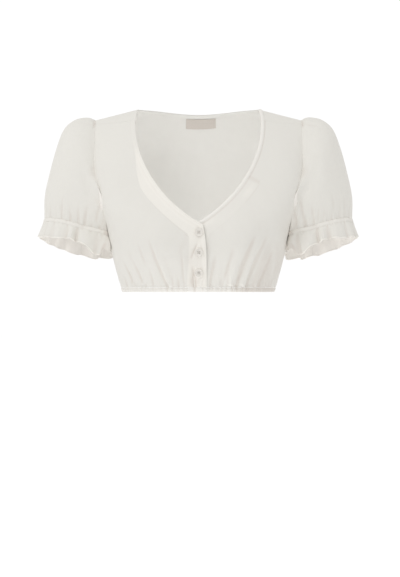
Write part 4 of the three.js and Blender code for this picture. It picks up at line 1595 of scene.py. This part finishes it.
RIGHT_SLEEVE = SleeveCut(
    Side.RIGHT,
    (
        Crease(238, -136, 244, -190, 2.4, 1.0, 0.0, 0.5, 0.02),
        Crease(259, -130, 262, -190, 3.0, 0.6, 0.0, 0.5, 0.02),
        Crease(212, -158, 215, -202, 3.0, 0.9, 0.0, 0.5, 0.02),
        Crease(195, -156, 205, -206, 3.4, 1.5, 1.0, 0.5, 0.02),
        Crease(173, -150, 187, -210, 3.8, 2.0, 2.0, 0.5, 0.02),
        Crease(186, -176, 193, -210, 2.6, 1.2, 1.0, 0.5, 0.02),
        Crease(168, -182, 179, -216, 3.0, 1.8, 1.0, 0.5, 0.02),
        Crease(224, -172, 228, -200, 2.4, 0.8, 0.0, 0.5, 0.02),
        Crease(185.5, -8, 187, -28, 2.4, 3.4, 0.0, 0.02, 0.6),
        Crease(190, -18, 216, -14, 4.0, 0.8, 2.0, 0.1, 0.5),
        Crease(192, -96, 232, -88, 10, 0.7, 3.0, 0.4, 0.5),
    ),
    (
        Crease(236, -140, 242, -196, 3.0, 1.2, 0.0, 0.5, 0.02),
        Crease(214, -150, 220, -206, 3.2, 1.4, 0.0, 0.5, 0.02),
        Crease(196, -156, 204, -214, 3.4, 1.6, 0.0, 0.5, 0.02),
        Crease(178, -168, 186, -222, 3.4, 1.7, 0.0, 0.5, 0.02),
        Crease(256, -142, 258, -200, 3.0, 0.9, 0.0, 0.5, 0.02),
        Crease(186, -10, 188, -30, 2.4, 1.8, 0.0, 0.02, 0.6),
    ),
    0.7,
)
LEFT_SLEEVE = SleeveCut(
    Side.LEFT,
    (
        Crease(233, -132, 246, -190, 2.4, 1.1, 0.0, 0.5, 0.02),
        Crease(260, -140, 263, -190, 3.0, 0.6, 0.0, 0.5, 0.02),
        Crease(212, -160, 215, -200, 2.8, 0.9, 0.0, 0.5, 0.02),
        Crease(199, -158, 205, -204, 3.0, 1.4, 1.0, 0.5, 0.02),
        Crease(179, -142, 190, -206, 3.8, 1.8, 2.0, 0.5, 0.02),
        Crease(167, -158, 178, -214, 4.0, 2.2, 1.0, 0.5, 0.02),
        Crease(226, -176, 229, -200, 2.4, 0.8, 0.0, 0.5, 0.02),
        Crease(185.5, -8, 187, -24, 2.4, 2.8, 0.0, 0.02, 0.6),
        Crease(188, -16, 219, -24, 3.0, 1.0, 2.0, 0.1, 0.5),
    ),
    (
        Crease(238, -138, 243, -196, 3.0, 1.2, 0.0, 0.5, 0.02),
        Crease(218, -154, 222, -206, 3.0, 1.3, 0.0, 0.5, 0.02),
        Crease(199, -150, 206, -212, 3.4, 1.7, 0.0, 0.5, 0.02),
        Crease(181, -170, 188, -222, 3.4, 1.6, 0.0, 0.5, 0.02),
        Crease(258, -144, 260, -200, 3.0, 0.9, 0.0, 0.5, 0.02),
        Crease(186, -10, 188, -28, 2.4, 1.6, 0.0, 0.02, 0.6),
    ),
    2.9,
)


@dataclass
class PuffSleeve:
    """One puff sleeve with its cuff band and frill."""

    wardrobe: Wardrobe
    cut: SleeveCut
    columns: int = 200
    rows: int = 100
    gathers: int = 14
    front_depth: float = 0.72
    head_round: float = 480.0
    cloth_round: float = 560.0
    band_round: float = 280.0
    band_height: float = 6.5
    frill_length: float = 26.0
    frill_plunge: float = 14.0
    frill_sag: float = 4.5
    frill_rise: float = 15.0
    frill_rise_front: float = 12.0
    sheets: dict[str, ClothSheet] = field(default_factory=dict)

    def _around(self, columns: int) -> tuple[np.ndarray, ...]:
        """Goes round the sleeve.

        Args:
            columns: How many points it takes.

        Returns:
            u, facing, share of the armhole and turn from the underarm.
        """
        u = np.arange(columns) / columns
        c = 2 * u
        share = np.where(c <= 1, c, 2 - c)
        return u, np.where(c <= 1, -1.0, 1.0), share, share * math.pi

    def _oval(self, turn: Values, facing: Values, v: Values) -> np.ndarray:
        """Shapes the sleeve's plain section.

        Args:
            turn: Turns from the underarm.
            facing: -1 on the front, 1 on the back.
            v: From the armhole at 0 to the cuff at 1.

        Returns:
            Its points.
        """
        tilt = CUFF_TILT * smooth((v - 0.2) / 0.8)
        level = (1 - np.cos(turn)) / 2
        between = smooth((v - 0.01) / 0.19) + 0.2 * smooth((v - 0.8) / 0.2)
        squarer = mix(HUG_SQUARE, HUG_SQUARE_CUFF, smooth((v - 0.7) / 0.3)) * smooth(v / 0.16)
        square = mix(2.2, 2, v) + squarer * (1 - smooth(0.6 * turn / HUG_OVER))
        y = facing * SLEEVE_TABLE.at("depth", v) * np.abs(np.sin(turn)) ** (2 / square)
        hug = HUG_REACH * between * np.sin(math.pi * np.clip(turn / HUG_OVER, 0, 1))
        x = mix(SLEEVE_TABLE.at("under_x", v), SLEEVE_TABLE.at("top_x", v), level) - hug
        z = mix(SLEEVE_TABLE.at("under_z", v), SLEEVE_TABLE.at("top_z", v), level) - y * np.sin(tilt)
        return np.stack(np.broadcast_arrays(x, y * np.cos(tilt), z), -1)

    def _seam(self, share: np.ndarray, facing: np.ndarray) -> np.ndarray:
        """Follows the armhole, moved out to clear the body.

        Args:
            share: From the armpit at 0 to the shoulder's end at 1.
            facing: -1 on the front, 1 on the back.

        Returns:
            The seam's points.
        """
        angle, z = TORSO.armhole(share, facing)
        points = TORSO.surface(angle, z, facing)
        points[..., 0] += mix(1.3, 0.6, smooth(share * 2))
        points[..., 2] += mix(0.4, 0, smooth(share * 2))
        return points

    def body(self) -> np.ndarray:
        """Lays the sleeve's cloth, with its tucks, gathers and creases.

        Returns:
            Its points, rows from the armhole to the cuff.
        """
        u, facing, share, turn = self._around(self.columns)
        v = np.linspace(0, 1, self.rows + 1)[:, None]
        hold = (1 - smooth(v / 0.45))[..., None]
        held = (self._seam(share, facing) - self._oval(turn, facing, np.zeros(1))) * hold
        points = self._oval(turn, facing, v) + held
        middle = (self._oval(0.0, 1.0, v) + self._oval(math.pi, 1.0, v)) / 2
        out = points - middle
        out /= np.linalg.norm(out, axis=-1, keepdims=True)
        x, z = points[..., 0], points[..., 2]
        seed, around = self.cut.seed, u * self.cloth_round
        creased = self.front_depth * lift_of(self.cut.front, x, z)
        lift = np.where(facing < 0, creased, lift_of(self.cut.back, x, z))
        head = smooth(v / 0.05) * (1 - smooth(v / 0.24)) * (1 - smooth((1 - share) / 0.29))
        tucks = 1.2 * np.cos(2 * math.pi * self.gathers * u) * head
        lift = lift + tucks * (0.7 + 0.5 * np.sin(9 * u + seed))
        inner = mix(0.5, 1.15, (1 + np.cos(turn)) / 2)
        pull = smooth((v - 0.72) / 0.28) ** 1.5
        lift = lift + uneven(around, 23, seed) * 1.5 * inner * pull
        lift = lift + uneven(around, 9, seed + 1) * 0.6 * smooth((v - 0.9) / 0.1)
        lift = lift + uneven(around + 90 * v, 120, seed) * 0.9 * np.sin(math.pi * v) ** 2
        seam = 1 - smooth(v / 0.035)
        lift = lift - uneven(u * self.head_round, 13, seed + 2) * 0.35 * smooth(v / 0.01) * seam
        points = points + out * (lift * smooth(v / 0.015))[..., None]
        return self._clear(points, facing, turn, HUG_GAP, smooth(v / 0.03))

    def _clear(
        self, points: np.ndarray, facing: Values, turn: Values, gap: float, share: Values = 1.0
    ) -> np.ndarray:
        """Lets points rest against the body, and turns them to the sleeve's own side.

        Args:
            points: Points as on the left side.
            facing: -1 for those of the front, 1 for the back's.
            turn: Their turns from the underarm.
            gap: The least distance from the body's side, in mm.
            share: How far the rule holds at each point.

        Returns:
            The points, where they lie on this sleeve's side.
        """
        against = TORSO.side_x(points[..., 1], points[..., 2], facing) + gap
        rests = np.logaddexp(points[..., 0] / HUG_SOFT, against / HUG_SOFT) * HUG_SOFT
        near = share * smooth((HUG_BELOW - points[..., 2]) / HUG_FADE) * (turn < 2)
        points[..., 0] = mix(points[..., 0], np.maximum(points[..., 0], rests), near)
        points[..., 0] *= self.cut.side.value
        return points

    def _ring(self, columns: int) -> tuple[np.ndarray, ...]:
        """Finds the ring that ends the sleeve.

        Args:
            columns: How many points it takes.

        Returns:
            u, turn, the ring, and its directions out and down.
        """
        u, facing, _, turn = self._around(columns)
        end = {column: SLEEVE_TABLE.at(column, 1.0) for column in SLEEVE_TABLE.columns}
        under = np.array([end["under_x"], 0, end["under_z"]])
        top = np.array([end["top_x"], 0, end["top_z"]])
        long = (top - under) / np.linalg.norm(top - under)
        short = np.array([0, math.cos(CUFF_TILT), -math.sin(CUFF_TILT)])
        down = np.cross(short, long)
        down /= np.linalg.norm(down)
        base = self._oval(turn, facing, np.ones(1))
        radial = long * (-np.cos(turn) / (np.linalg.norm(top - under) / 2))[:, None]
        radial = radial + short * (facing * np.sin(turn) / end["depth"])[:, None]
        return u, turn, base, radial / np.linalg.norm(radial, axis=-1, keepdims=True), down

    def band(self) -> tuple[np.ndarray, np.ndarray]:
        """Lays the cuff band.

        Returns:
            Its points and thickness.
        """
        u, turn, base, radial, down = self._ring(self.columns)
        share = np.linspace(0, 1, 11)[:, None]
        wave = -np.cos(2 * math.pi * self.gathers * u) * 0.6
        wave = wave + uneven(u * self.band_round, 6.0, self.cut.seed) * 0.35
        points = base + down * (0.5 + (self.band_height + 0.3) * share)[..., None] + radial * wave[:, None]
        points = self._clear(points, np.where(u <= 0.5, -1.0, 1.0), turn, BAND_GAP)
        thickness = 0.8 + 1.5 * np.sin(math.pi * np.clip(share, 0.04, 0.96)) ** 0.6
        return points, np.broadcast_to(thickness, points.shape[:2])

    def frill(self) -> tuple[np.ndarray, np.ndarray]:
        """Lays the frill, with a narrow rolled edge.

        Returns:
            Its points and thickness.
        """
        u, turn, base, radial, down = self._ring(300)
        share = np.concatenate([np.linspace(0, 0.9, 26), np.linspace(0.9, 1, 8)[1:]])[:, None]
        fall = mix(down, np.array([0, 0, -1.0]), 0.4)
        fall /= np.linalg.norm(fall)
        inner = (1 + np.cos(turn)) / 2
        wander = u + 0.010 * np.sin(6 * math.pi * u + self.cut.seed) + 0.006 * np.sin(14 * math.pi * u + 2)
        rough = 1 + 0.3 * np.sin(10 * math.pi * u + 1) + 0.25 * np.sin(26 * math.pi * u + self.cut.seed)
        # The waves are deepest halfway round and shallow at the body.
        deep = mix(1.8, 6.4, smooth(1.3 * inner)) * rough
        edge = mix(deep, 2.1, smooth((inner - 0.85) / 0.15))
        depth = mix(0.6, edge, share**0.8)
        bulge = 4.5 * inner**3 * np.sin(math.pi * share)
        flare = mix(4, 7, inner) * share
        front = smooth((0.5 - u) / 0.02) * smooth(u / 0.02)
        # The front hangs lower near the body and again outside, and both sides rise under the arm.
        plunge = self.frill_plunge * smooth((1.36 - turn) / 0.4) * smooth((turn - 0.76) / 0.09)
        ends = plunge + self.frill_sag * smooth((turn - 1.75) / 0.3) * (1 - smooth((turn - 2.8) / 0.3))
        rising = smooth((0.95 - 0.4 * front - turn) / (0.8 - 0.3 * front))
        rise = mix(self.frill_rise, self.frill_rise_front, front) * rising
        long = self.frill_length + front * ends - rise
        wave = -np.cos(2 * math.pi * self.gathers * wander) * depth * (1 - 0.8 * smooth((0.45 - turn) / 0.3))
        pinch = uneven(u * self.band_round, 7, self.cut.seed + 3) * 0.7 * (1 - smooth(share / 0.35))
        points = (
            base
            + down * (0.9 + self.band_height)
            + fall * (long * share)[..., None]
            + radial * (flare + wave + bulge + pinch)[..., None]
        )
        points = self._clear(points, np.where(u <= 0.5, -1.0, 1.0), turn, FRILL_GAP)
        roll = 1.2 * smooth((share - 0.93) / 0.03) * (1 - 0.6 * smooth((share - 0.985) / 0.015))
        roll = roll * (1 - 0.85 * smooth((0.9 - turn) / 0.2))
        return points, np.broadcast_to(0.5 + roll, points.shape[:2])

    def build(self) -> None:
        """Builds sleeve, band and frill."""
        self.sheets = {"sleeve": self.sew_sleeve(), "band": self.sew_band(), "frill": self.sew_frill()}

    def _sheet(self, name: str, points: np.ndarray, thickness: Values, **painted: Values) -> ClothSheet:
        """Returns a sheet worked round the arm, of the given form, thickness and painted values."""
        outward = -self.cut.side.value
        return ClothSheet(f"{name}_{self.cut.side.word}", points, outward, thickness, ring=True, **painted)

    def sew_sleeve(self) -> ClothSheet:
        """Builds the sleeve, with painted shade in the tuck at its head and low beside the body.

        Returns:
            Its sheet.
        """
        points = self.body()
        x, z = np.abs(points[..., 0]), points[..., 2]
        front = points[..., 1] < 0
        # Painted shade in the tuck at the head, and low between sleeve and body.
        tuck = 1.6 * np.exp(-(((x - 186.5) / 2.2) ** 2) - ((z + 18) / 6) ** 2) * front
        low = 0.55 * np.exp(-(((x - 166) / 7) ** 2)) * smooth((-178 - z) / 25) * front
        sheet = self._sheet("sleeve", points, BATISTE, shade=tuck + low)
        piece = self.wardrobe.dress(sheet.object(), self.wardrobe.sleeve, sheet.name)
        return sheet

    def sew_band(self) -> ClothSheet:
        """Builds the cuff band, with painted shade at its inner end.

        Returns:
            Its sheet.
        """
        points, thickness = self.band()
        u, _, _, turn = self._around(self.columns)
        # Painted shade at the band's inner end, beside the body.
        shade_paint = 1.5 * smooth((INNER_TURN - turn) / 0.08) * (u <= 0.5)
        sheet = self._sheet("cuff_band", points, thickness, shade=shade_paint + 0 * thickness)
        piece = self.wardrobe.dress(sheet.object(), self.wardrobe.cuff, sheet.name)
        return sheet

    def sew_frill(self) -> ClothSheet:
        """Builds the frill, with painted shade at its inner end and in the fold there.

        Returns:
            Its sheet.
        """
        points, thickness = self.frill()
        u, _, _, turn = self._around(points.shape[1])
        length = np.linspace(0, 1, points.shape[0])[:, None]
        # Painted shade at the frill's inner end and in its fold.
        shade_paint = 0.6 * smooth((INNER_TURN - turn) / 0.1) * (u <= 0.5)
        fold = 1.3 * np.exp(-(((turn - 0.79) / 0.05) ** 2)) * smooth((length - 0.45) / 0.2)
        shade_paint = shade_paint + fold * (u <= 0.5)
        sheet = self._sheet("frill", points, thickness, layers=(thickness - 0.5) * 1.2, shade=shade_paint)
        piece = self.wardrobe.dress(sheet.object(), self.wardrobe.sleeve, sheet.name)
        return sheet


@dataclass
class ButtonRow:
    """Three dished buttons with four holes, sewn on with crossed thread."""

    wardrobe: Wardrobe
    heights: tuple[float, ...] = (-214.0, -248.5, -284.0)
    x: float = -0.8
    radius: float = 7.6
    thickness: float = 2.8
    hole: float = 0.85
    hole_at: float = 1.6
    lift: float = 0.8

    def build(self) -> None:
        """Builds each button and its thread where its solid is."""
        for number, z in enumerate(self.heights, 1):
            origin, axes = self._seat(z)
            button = self._button(f"sewn_button_{number}", origin, axes)
            self.wardrobe.dress(button, self.wardrobe.button, f"button_{number}")
            thread = self._thread(f"button_thread_{number}", origin, axes)
            self.wardrobe.dress(thread, self.wardrobe.thread)

    def _seat(self, z: float) -> tuple[np.ndarray, np.ndarray]:
        """Finds a button's seat on the cloth.

        Args:
            z: Height, in mm.

        Returns:
            Its centre, and its axes across, up and out.
        """
        angle = -TORSO.angle_at(self.x, z, -1)
        slope = TORSO.surface(angle, z + 1, -1) - TORSO.surface(angle, z - 1, -1)
        out = np.cross([1.0, 0, 0], slope)
        out /= np.linalg.norm(out)
        up = np.cross(out, [1.0, 0, 0])
        origin = TORSO.surface(angle, z, -1) + out * (0.6 + self.lift)
        return origin, np.stack([np.cross(up, out), up, out])

    def _button(self, name: str, origin: np.ndarray, axes: np.ndarray) -> bpy.types.Object:
        """Turns a button from its profile, its holes pressed into a fine polar grid.

        Args:
            name: The piece's name.
            origin: Its centre.
            axes: Its directions across, up and out.

        Returns:
            The button.
        """
        r, t = self.radius, self.thickness
        profile = [(0.01, 0), (r - 0.9, 0), (r - 0.25, 0.3), (r, 0.9), (r, t - 0.75), (r - 0.25, t - 0.2)]
        profile += [(r - 0.8, t), (r - 1.4, t - 0.08), (r - 1.9, t - 0.55), (r - 2.4, t - 0.95)]
        profile += [(rad, t - 1.05 + 0.02 * rad) for rad in np.linspace(r - 2.9, 3.8, 4)]
        profile += [(rad, t - 1.02) for rad in np.linspace(3.5, 0.05, 30)]
        count = 96
        turn = np.arange(count) * 2 * math.pi / count
        holes = [(a, b) for a in (-self.hole_at, self.hole_at) for b in (-self.hole_at, self.hole_at)]
        rows = []
        for i, (rad, z) in enumerate(profile):
            x, y = rad * np.cos(turn), rad * np.sin(turn)
            height = np.full(count, float(z))
            if i > 8 and rad < 4.2:
                near = np.minimum.reduce([np.hypot(x - a, y - b) for a, b in holes])
                height = height - (t - 1.3) * (1 - smooth((near - self.hole + 0.12) / 0.24))
            rows.append(np.stack([x, y, height], -1))
        points = np.array(rows)[::-1] @ axes + origin
        ids = np.arange(len(rows) * count).reshape(len(rows), count)
        right = np.roll(ids, -1, 1)
        quads = np.stack([ids[:-1], right[:-1], right[1:], ids[1:]], -1).reshape(-1, 4)
        faces = [tuple(q) for q in quads[:, ::-1].tolist()]
        faces += [tuple(ids[0].tolist()), tuple(ids[-1][::-1].tolist())]
        mesh = bpy.data.meshes.new(name)
        mesh.from_pydata((points.reshape(-1, 3) * MM).tolist(), [], faces)
        mesh.shade_smooth()
        mesh.set_sharp_from_angle(angle=math.radians(60))
        return add_object(name, mesh)

    def _thread(self, name: str, origin: np.ndarray, axes: np.ndarray) -> bpy.types.Object:
        """Crosses thin tubes of thread through a button's holes.

        Args:
            name: The piece's name.
            origin: The button's centre.
            axes: Its directions.

        Returns:
            The thread.
        """
        a = self.hole_at
        top, low = self.thickness - 0.55, 0.2
        strands = []
        for sign in (1, -1):
            for shift in (-0.22, 0.22):
                start = np.array([-a + shift, -sign * a - shift * sign])
                end = np.array([a + shift, sign * a - shift * sign])
                over = top + 0.15 * (sign > 0)
                line = [(start, low), (start, top - 0.5)]
                line += [(mix(start, end, s), over) for s in (0.12, 0.35, 0.5, 0.65, 0.88)]
                line += [(end, top - 0.5), (end, low)]
                strands.append([(x, y, z) for (x, y), z in line])
        curve = bpy.data.curves.new(name, "CURVE")
        curve.dimensions = "3D"
        curve.bevel_depth = 0.2 * MM
        curve.bevel_resolution = 2
        for strand in strands:
            spline = curve.splines.new("POLY")
            spline.points.add(len(strand) - 1)
            for point, place in zip(spline.points, strand):
                point.co = (*((np.array(place) @ axes + origin) * MM), 1)
        return plain_copy(add_object(name + "_line", curve), name)


def plain_copy(holder: bpy.types.Object, name: str) -> bpy.types.Object:
    """Turns an object with live parts into a plain mesh object, and removes the first.

    Args:
        holder: The object to evaluate.
        name: Name of the new object.

    Returns:
        The new object.
    """
    bpy.context.view_layer.update()
    evaluated = holder.evaluated_get(bpy.context.evaluated_depsgraph_get())
    mesh = bpy.data.meshes.new_from_object(evaluated)
    mesh.name = name
    bpy.data.objects.remove(holder)
    return add_object(name, mesh)


@dataclass
class StitchLines:
    """Rows of machine stitches that follow seams, laid by Geometry Nodes along paths on the cloth."""

    wardrobe: Wardrobe
    pitch: float = 2.7
    length: float = 2.0
    thread: float = 0.28

    def tree(self, material: bpy.types.Material) -> bpy.types.NodeTree:
        """Builds the node tree that lays a stitch at each pitch of a path.

        Args:
            material: The thread's.

        Returns:
            The tree.
        """
        tree = bpy.data.node_groups.new("stitch_row", "GeometryNodeTree")
        face = tree.interface
        face.new_socket("Path", in_out="INPUT", socket_type="NodeSocketGeometry")
        for name in ("Pitch", "Stitch length", "Thread"):
            face.new_socket(name, in_out="INPUT", socket_type="NodeSocketFloat")
        face.new_socket("Stitches", in_out="OUTPUT", socket_type="NodeSocketGeometry")
        add, link = tree.nodes.new, tree.links.new
        start, end = add("NodeGroupInput"), add("NodeGroupOutput")
        curve = add("GeometryNodeMeshToCurve")
        link(start.outputs["Path"], curve.inputs["Mesh"])
        even = add("GeometryNodeResampleCurve")
        even.mode = "LENGTH"
        link(curve.outputs["Curve"], even.inputs["Curve"])
        link(start.outputs["Pitch"], even.inputs["Length"])
        tangent = add("GeometryNodeInputTangent")
        out = add("GeometryNodeInputNamedAttribute")
        out.data_type = "FLOAT_VECTOR"
        out.inputs["Name"].default_value = "out"
        turn = add("FunctionNodeAxesToRotation")
        turn.primary_axis, turn.secondary_axis = "X", "Z"
        link(tangent.outputs["Tangent"], turn.inputs["Primary Axis"])
        link(out.outputs["Attribute"], turn.inputs["Secondary Axis"])
        bead = add("GeometryNodeMeshUVSphere")
        bead.inputs["Segments"].default_value = 6
        bead.inputs["Rings"].default_value = 5
        bead.inputs["Radius"].default_value = 0.5
        size = add("ShaderNodeCombineXYZ")
        link(start.outputs["Stitch length"], size.inputs["X"])
        link(start.outputs["Thread"], size.inputs["Y"])
        link(start.outputs["Thread"], size.inputs["Z"])
        shape = add("GeometryNodeTransform")
        link(bead.outputs["Mesh"], shape.inputs["Geometry"])
        link(size.outputs["Vector"], shape.inputs["Scale"])
        place = add("GeometryNodeInstanceOnPoints")
        link(even.outputs["Curve"], place.inputs["Points"])
        link(shape.outputs["Geometry"], place.inputs["Instance"])
        link(turn.outputs["Rotation"], place.inputs["Rotation"])
        real = add("GeometryNodeRealizeInstances")
        link(place.outputs["Instances"], real.inputs["Geometry"])
        paint = add("GeometryNodeSetMaterial")
        paint.inputs["Material"].default_value = material
        link(real.outputs["Geometry"], paint.inputs["Geometry"])
        link(paint.outputs["Geometry"], end.inputs["Stitches"])
        return tree

    def lay(self, name: str, paths: Sequence[StitchPath]) -> bpy.types.Object:
        """Lays stitches along paths.

        Args:
            name: The new piece's name.
            paths: Points in mm, outward directions, and whether the path closes on itself.

        Returns:
            The piece.
        """
        points, normals, edges = [], [], []
        for line, out, closes in paths:
            first = len(points)
            points += (line * MM).tolist()
            normals += out.tolist()
            edges += [(first + i, first + i + 1) for i in range(len(line) - 1)]
            if closes:
                edges.append((first + len(line) - 1, first))
        mesh = bpy.data.meshes.new(name)
        mesh.from_pydata(points, edges, [])
        attribute = mesh.attributes.new("out", "FLOAT_VECTOR", "POINT")
        attribute.data.foreach_set("vector", np.array(normals, np.float32).ravel())
        holder = add_object(name + "_path", mesh)
        modifier = holder.modifiers.new("stitches", "NODES")
        modifier.node_group = self.tree(self.wardrobe.material(self.wardrobe.thread))
        values = {"Pitch": self.pitch * MM, "Stitch length": self.length * MM, "Thread": self.thread * MM}
        for item in modifier.node_group.interface.items_tree:
            if item.item_type == "SOCKET" and item.in_out == "INPUT" and item.name in values:
                modifier[item.identifier] = values[item.name]
        piece = plain_copy(holder, name)
        piece.data.shade_smooth()
        return self.wardrobe.dress(piece, self.wardrobe.thread)


def row_path(sheet: ClothSheet, row: int, closes: bool = False, inside: bool = False) -> StitchPath:
    """Returns a path for stitches along one row of a sheet, on its outer or inner side."""
    return _path(sheet, (row, slice(None)), closes, inside)


def column_path(
    sheet: ClothSheet, column: int, first: int = 0, last: int | None = None, inside: bool = False
) -> StitchPath:
    """Returns a path for stitches along one column of a sheet."""
    return _path(sheet, (slice(first, last), column), False, inside)


def _path(sheet: ClothSheet, index: tuple, closes: bool, inside: bool) -> StitchPath:
    """Follows the cloth's face.

    Args:
        sheet: The cloth.
        index: Which of its points.
        closes: Whether the path closes on itself.
        inside: Whether it lies on the inner side.

    Returns:
        Points, outward directions and whether it closes.
    """
    half = np.broadcast_to(np.asarray(sheet.thickness, float), sheet.points.shape[:2])[index] / 2 + 0.04
    out = sheet.normals[index] * (-1 if inside else 1)
    return sheet.points[index] + out * half[..., None], out, closes


@dataclass
class Studio:
    """A pale floor, white surroundings, soft lights, and the camera at hem height."""

    distance: float = 3500.0
    camera_x: float = 2.9
    camera_z: float = -312.0
    mm_per_pixel: float = 1.8
    image_height: int = 577
    floor_z: float = -1.42
    room: Colour = (0.77, 0.76, 0.745)

    def build(self) -> None:
        """Builds everything around the blouse."""
        self._world()
        self._floor()
        self._light("key", (-1.8, -2.3, 1.9), 1.8, 17)
        self._light("under", (0, 0, -0.5), 0.2, 0.3)
        self._camera()

    def _world(self) -> None:
        """Makes the surroundings white."""
        world = bpy.data.worlds.new("white_room")
        bpy.context.scene.world = world
        world.use_nodes = True
        tree = world.node_tree
        background = tree.nodes["Background"]
        place = tree.nodes.new("ShaderNodeTexCoord")
        split = tree.nodes.new("ShaderNodeSeparateXYZ")
        ramp = tree.nodes.new("ShaderNodeValToRGB")
        ramp.color_ramp.elements[0].position = 0.80
        ramp.color_ramp.elements[0].color = (*self.room, 1)
        ramp.color_ramp.elements[1].position = 0.93
        ramp.color_ramp.elements[1].color = (1.02, 1.02, 1.02, 1)
        tree.links.new(place.outputs["Generated"], split.inputs["Vector"])
        tree.links.new(split.outputs["Y"], ramp.inputs["Fac"])
        tree.links.new(ramp.outputs["Color"], background.inputs["Color"])
        bpy.context.scene.view_settings.view_transform = "Standard"

    def _floor(self) -> None:
        """Lays the pale floor."""
        mesh = bpy.data.meshes.new("floor")
        half = 40
        corners = [(-half, -half, self.floor_z), (half, -half, self.floor_z), (half, half, self.floor_z)]
        mesh.from_pydata([*corners, (-half, half, self.floor_z)], [], [(0, 1, 2, 3)])
        floor = add_object("floor", mesh)
        material = bpy.data.materials.new("pale_floor")
        nodes = Nodes(material)
        nodes.shader.inputs["Base Color"].default_value = (0.86, 0.86, 0.86, 1)
        nodes.shader.inputs["Roughness"].default_value = 1.0
        nodes.shader.inputs["Specular IOR Level"].default_value = 0.0
        # Painted light: the floor glows, faintly near the blouse and more strongly far behind it, so that it
        # fades into the white surroundings.
        nodes.shader.inputs["Emission Color"].default_value = (1, 1, 1, 1)
        place = nodes.add("ShaderNodeTexCoord").outputs["Object"]
        split = nodes.add("ShaderNodeSeparateXYZ")
        nodes.link(place, split.inputs["Vector"])
        far = nodes.add("ShaderNodeMapRange", interpolation_type="SMOOTHSTEP")
        for name, value in (("From Min", 1.0), ("From Max", 3.6), ("To Min", 0.13), ("To Max", 0.45)):
            far.inputs[name].default_value = value
        nodes.link(split.outputs["Y"], far.inputs["Value"])
        nodes.link(far.outputs["Result"], nodes.shader.inputs["Emission Strength"])
        mesh.materials.append(material)

    def _light(self, name: str, place: tuple[float, float, float], size: float, power: float) -> None:
        """Hangs a large soft light that looks at the blouse.

        Args:
            name: Its name.
            place: Where it hangs, in m.
            size: Its width, in m.
            power: In watts.
        """
        data = bpy.data.lights.new(name, "AREA")
        data.shape = "DISK"
        data.size = size
        data.energy = power
        light = add_object(name, data)
        light.location = place
        aim = Vector((0, 0, -0.16)) - Vector(place)
        light.rotation_euler = aim.to_track_quat("-Z", "Y").to_euler()
        light.visible_camera = False

    def _camera(self) -> None:
        """Sets the camera level at hem height, straight before the blouse."""
        data = bpy.data.cameras.new("camera")
        data.sensor_width = 36
        data.lens = 36 * self.distance / (self.image_height * self.mm_per_pixel)
        camera = add_object("camera", data)
        camera.location = (self.camera_x * MM, -self.distance * MM, self.camera_z * MM)
        camera.rotation_euler = (math.pi / 2, 0, 0)
        data.clip_end = 200
        bpy.context.scene.camera = camera


def lay_stitches(
    wardrobe: Wardrobe, fronts: Fronts, casings: HemCasings, sleeves: Sequence[PuffSleeve]
) -> None:
    """Lays the stitch rows of the body and of each sleeve.

    Args:
        wardrobe: The finishes.
        fronts: The built fronts.
        casings: The built casings.
        sleeves: The built sleeves.
    """
    stitches = StitchLines(wardrobe)
    right = fronts.sheets["front_right"]
    left = fronts.sheets["front_left"]
    body = [
        column_path(right, 2),
        column_path(left, 3, 0, LEFT_FRONT.low_rows),
        column_path(fronts.sheets["neck_binding_left"], -2),
    ]
    body += [row_path(casings.sheets[name], casings.rows - 1) for name in casings.sheets]
    stitches.lay("body_stitches", body)
    for sleeve in sleeves:
        paths = [row_path(sleeve.sheets["band"], row, True) for row in (1, 9)]
        paths.append(row_path(sleeve.sheets["frill"], -9, True))
        stitches.lay("sleeve_stitches_" + sleeve.cut.side.word, paths)


def main() -> None:
    """Builds the blouse piece by piece, then the studio."""
    logging.basicConfig(level=logging.INFO, format="%(message)s")
    wardrobe = Wardrobe()
    fronts = Fronts(wardrobe)
    fronts.build()
    back = BackPanel(wardrobe)
    back.build()
    casings = HemCasings(wardrobe, back)
    casings.build()
    sleeves = [PuffSleeve(wardrobe, RIGHT_SLEEVE), PuffSleeve(wardrobe, LEFT_SLEEVE)]
    for sleeve in sleeves:
        sleeve.build()
    ButtonRow(wardrobe).build()
    lay_stitches(wardrobe, fronts, casings, sleeves)
    Studio().build()


if __name__ == "__main__":
    main()
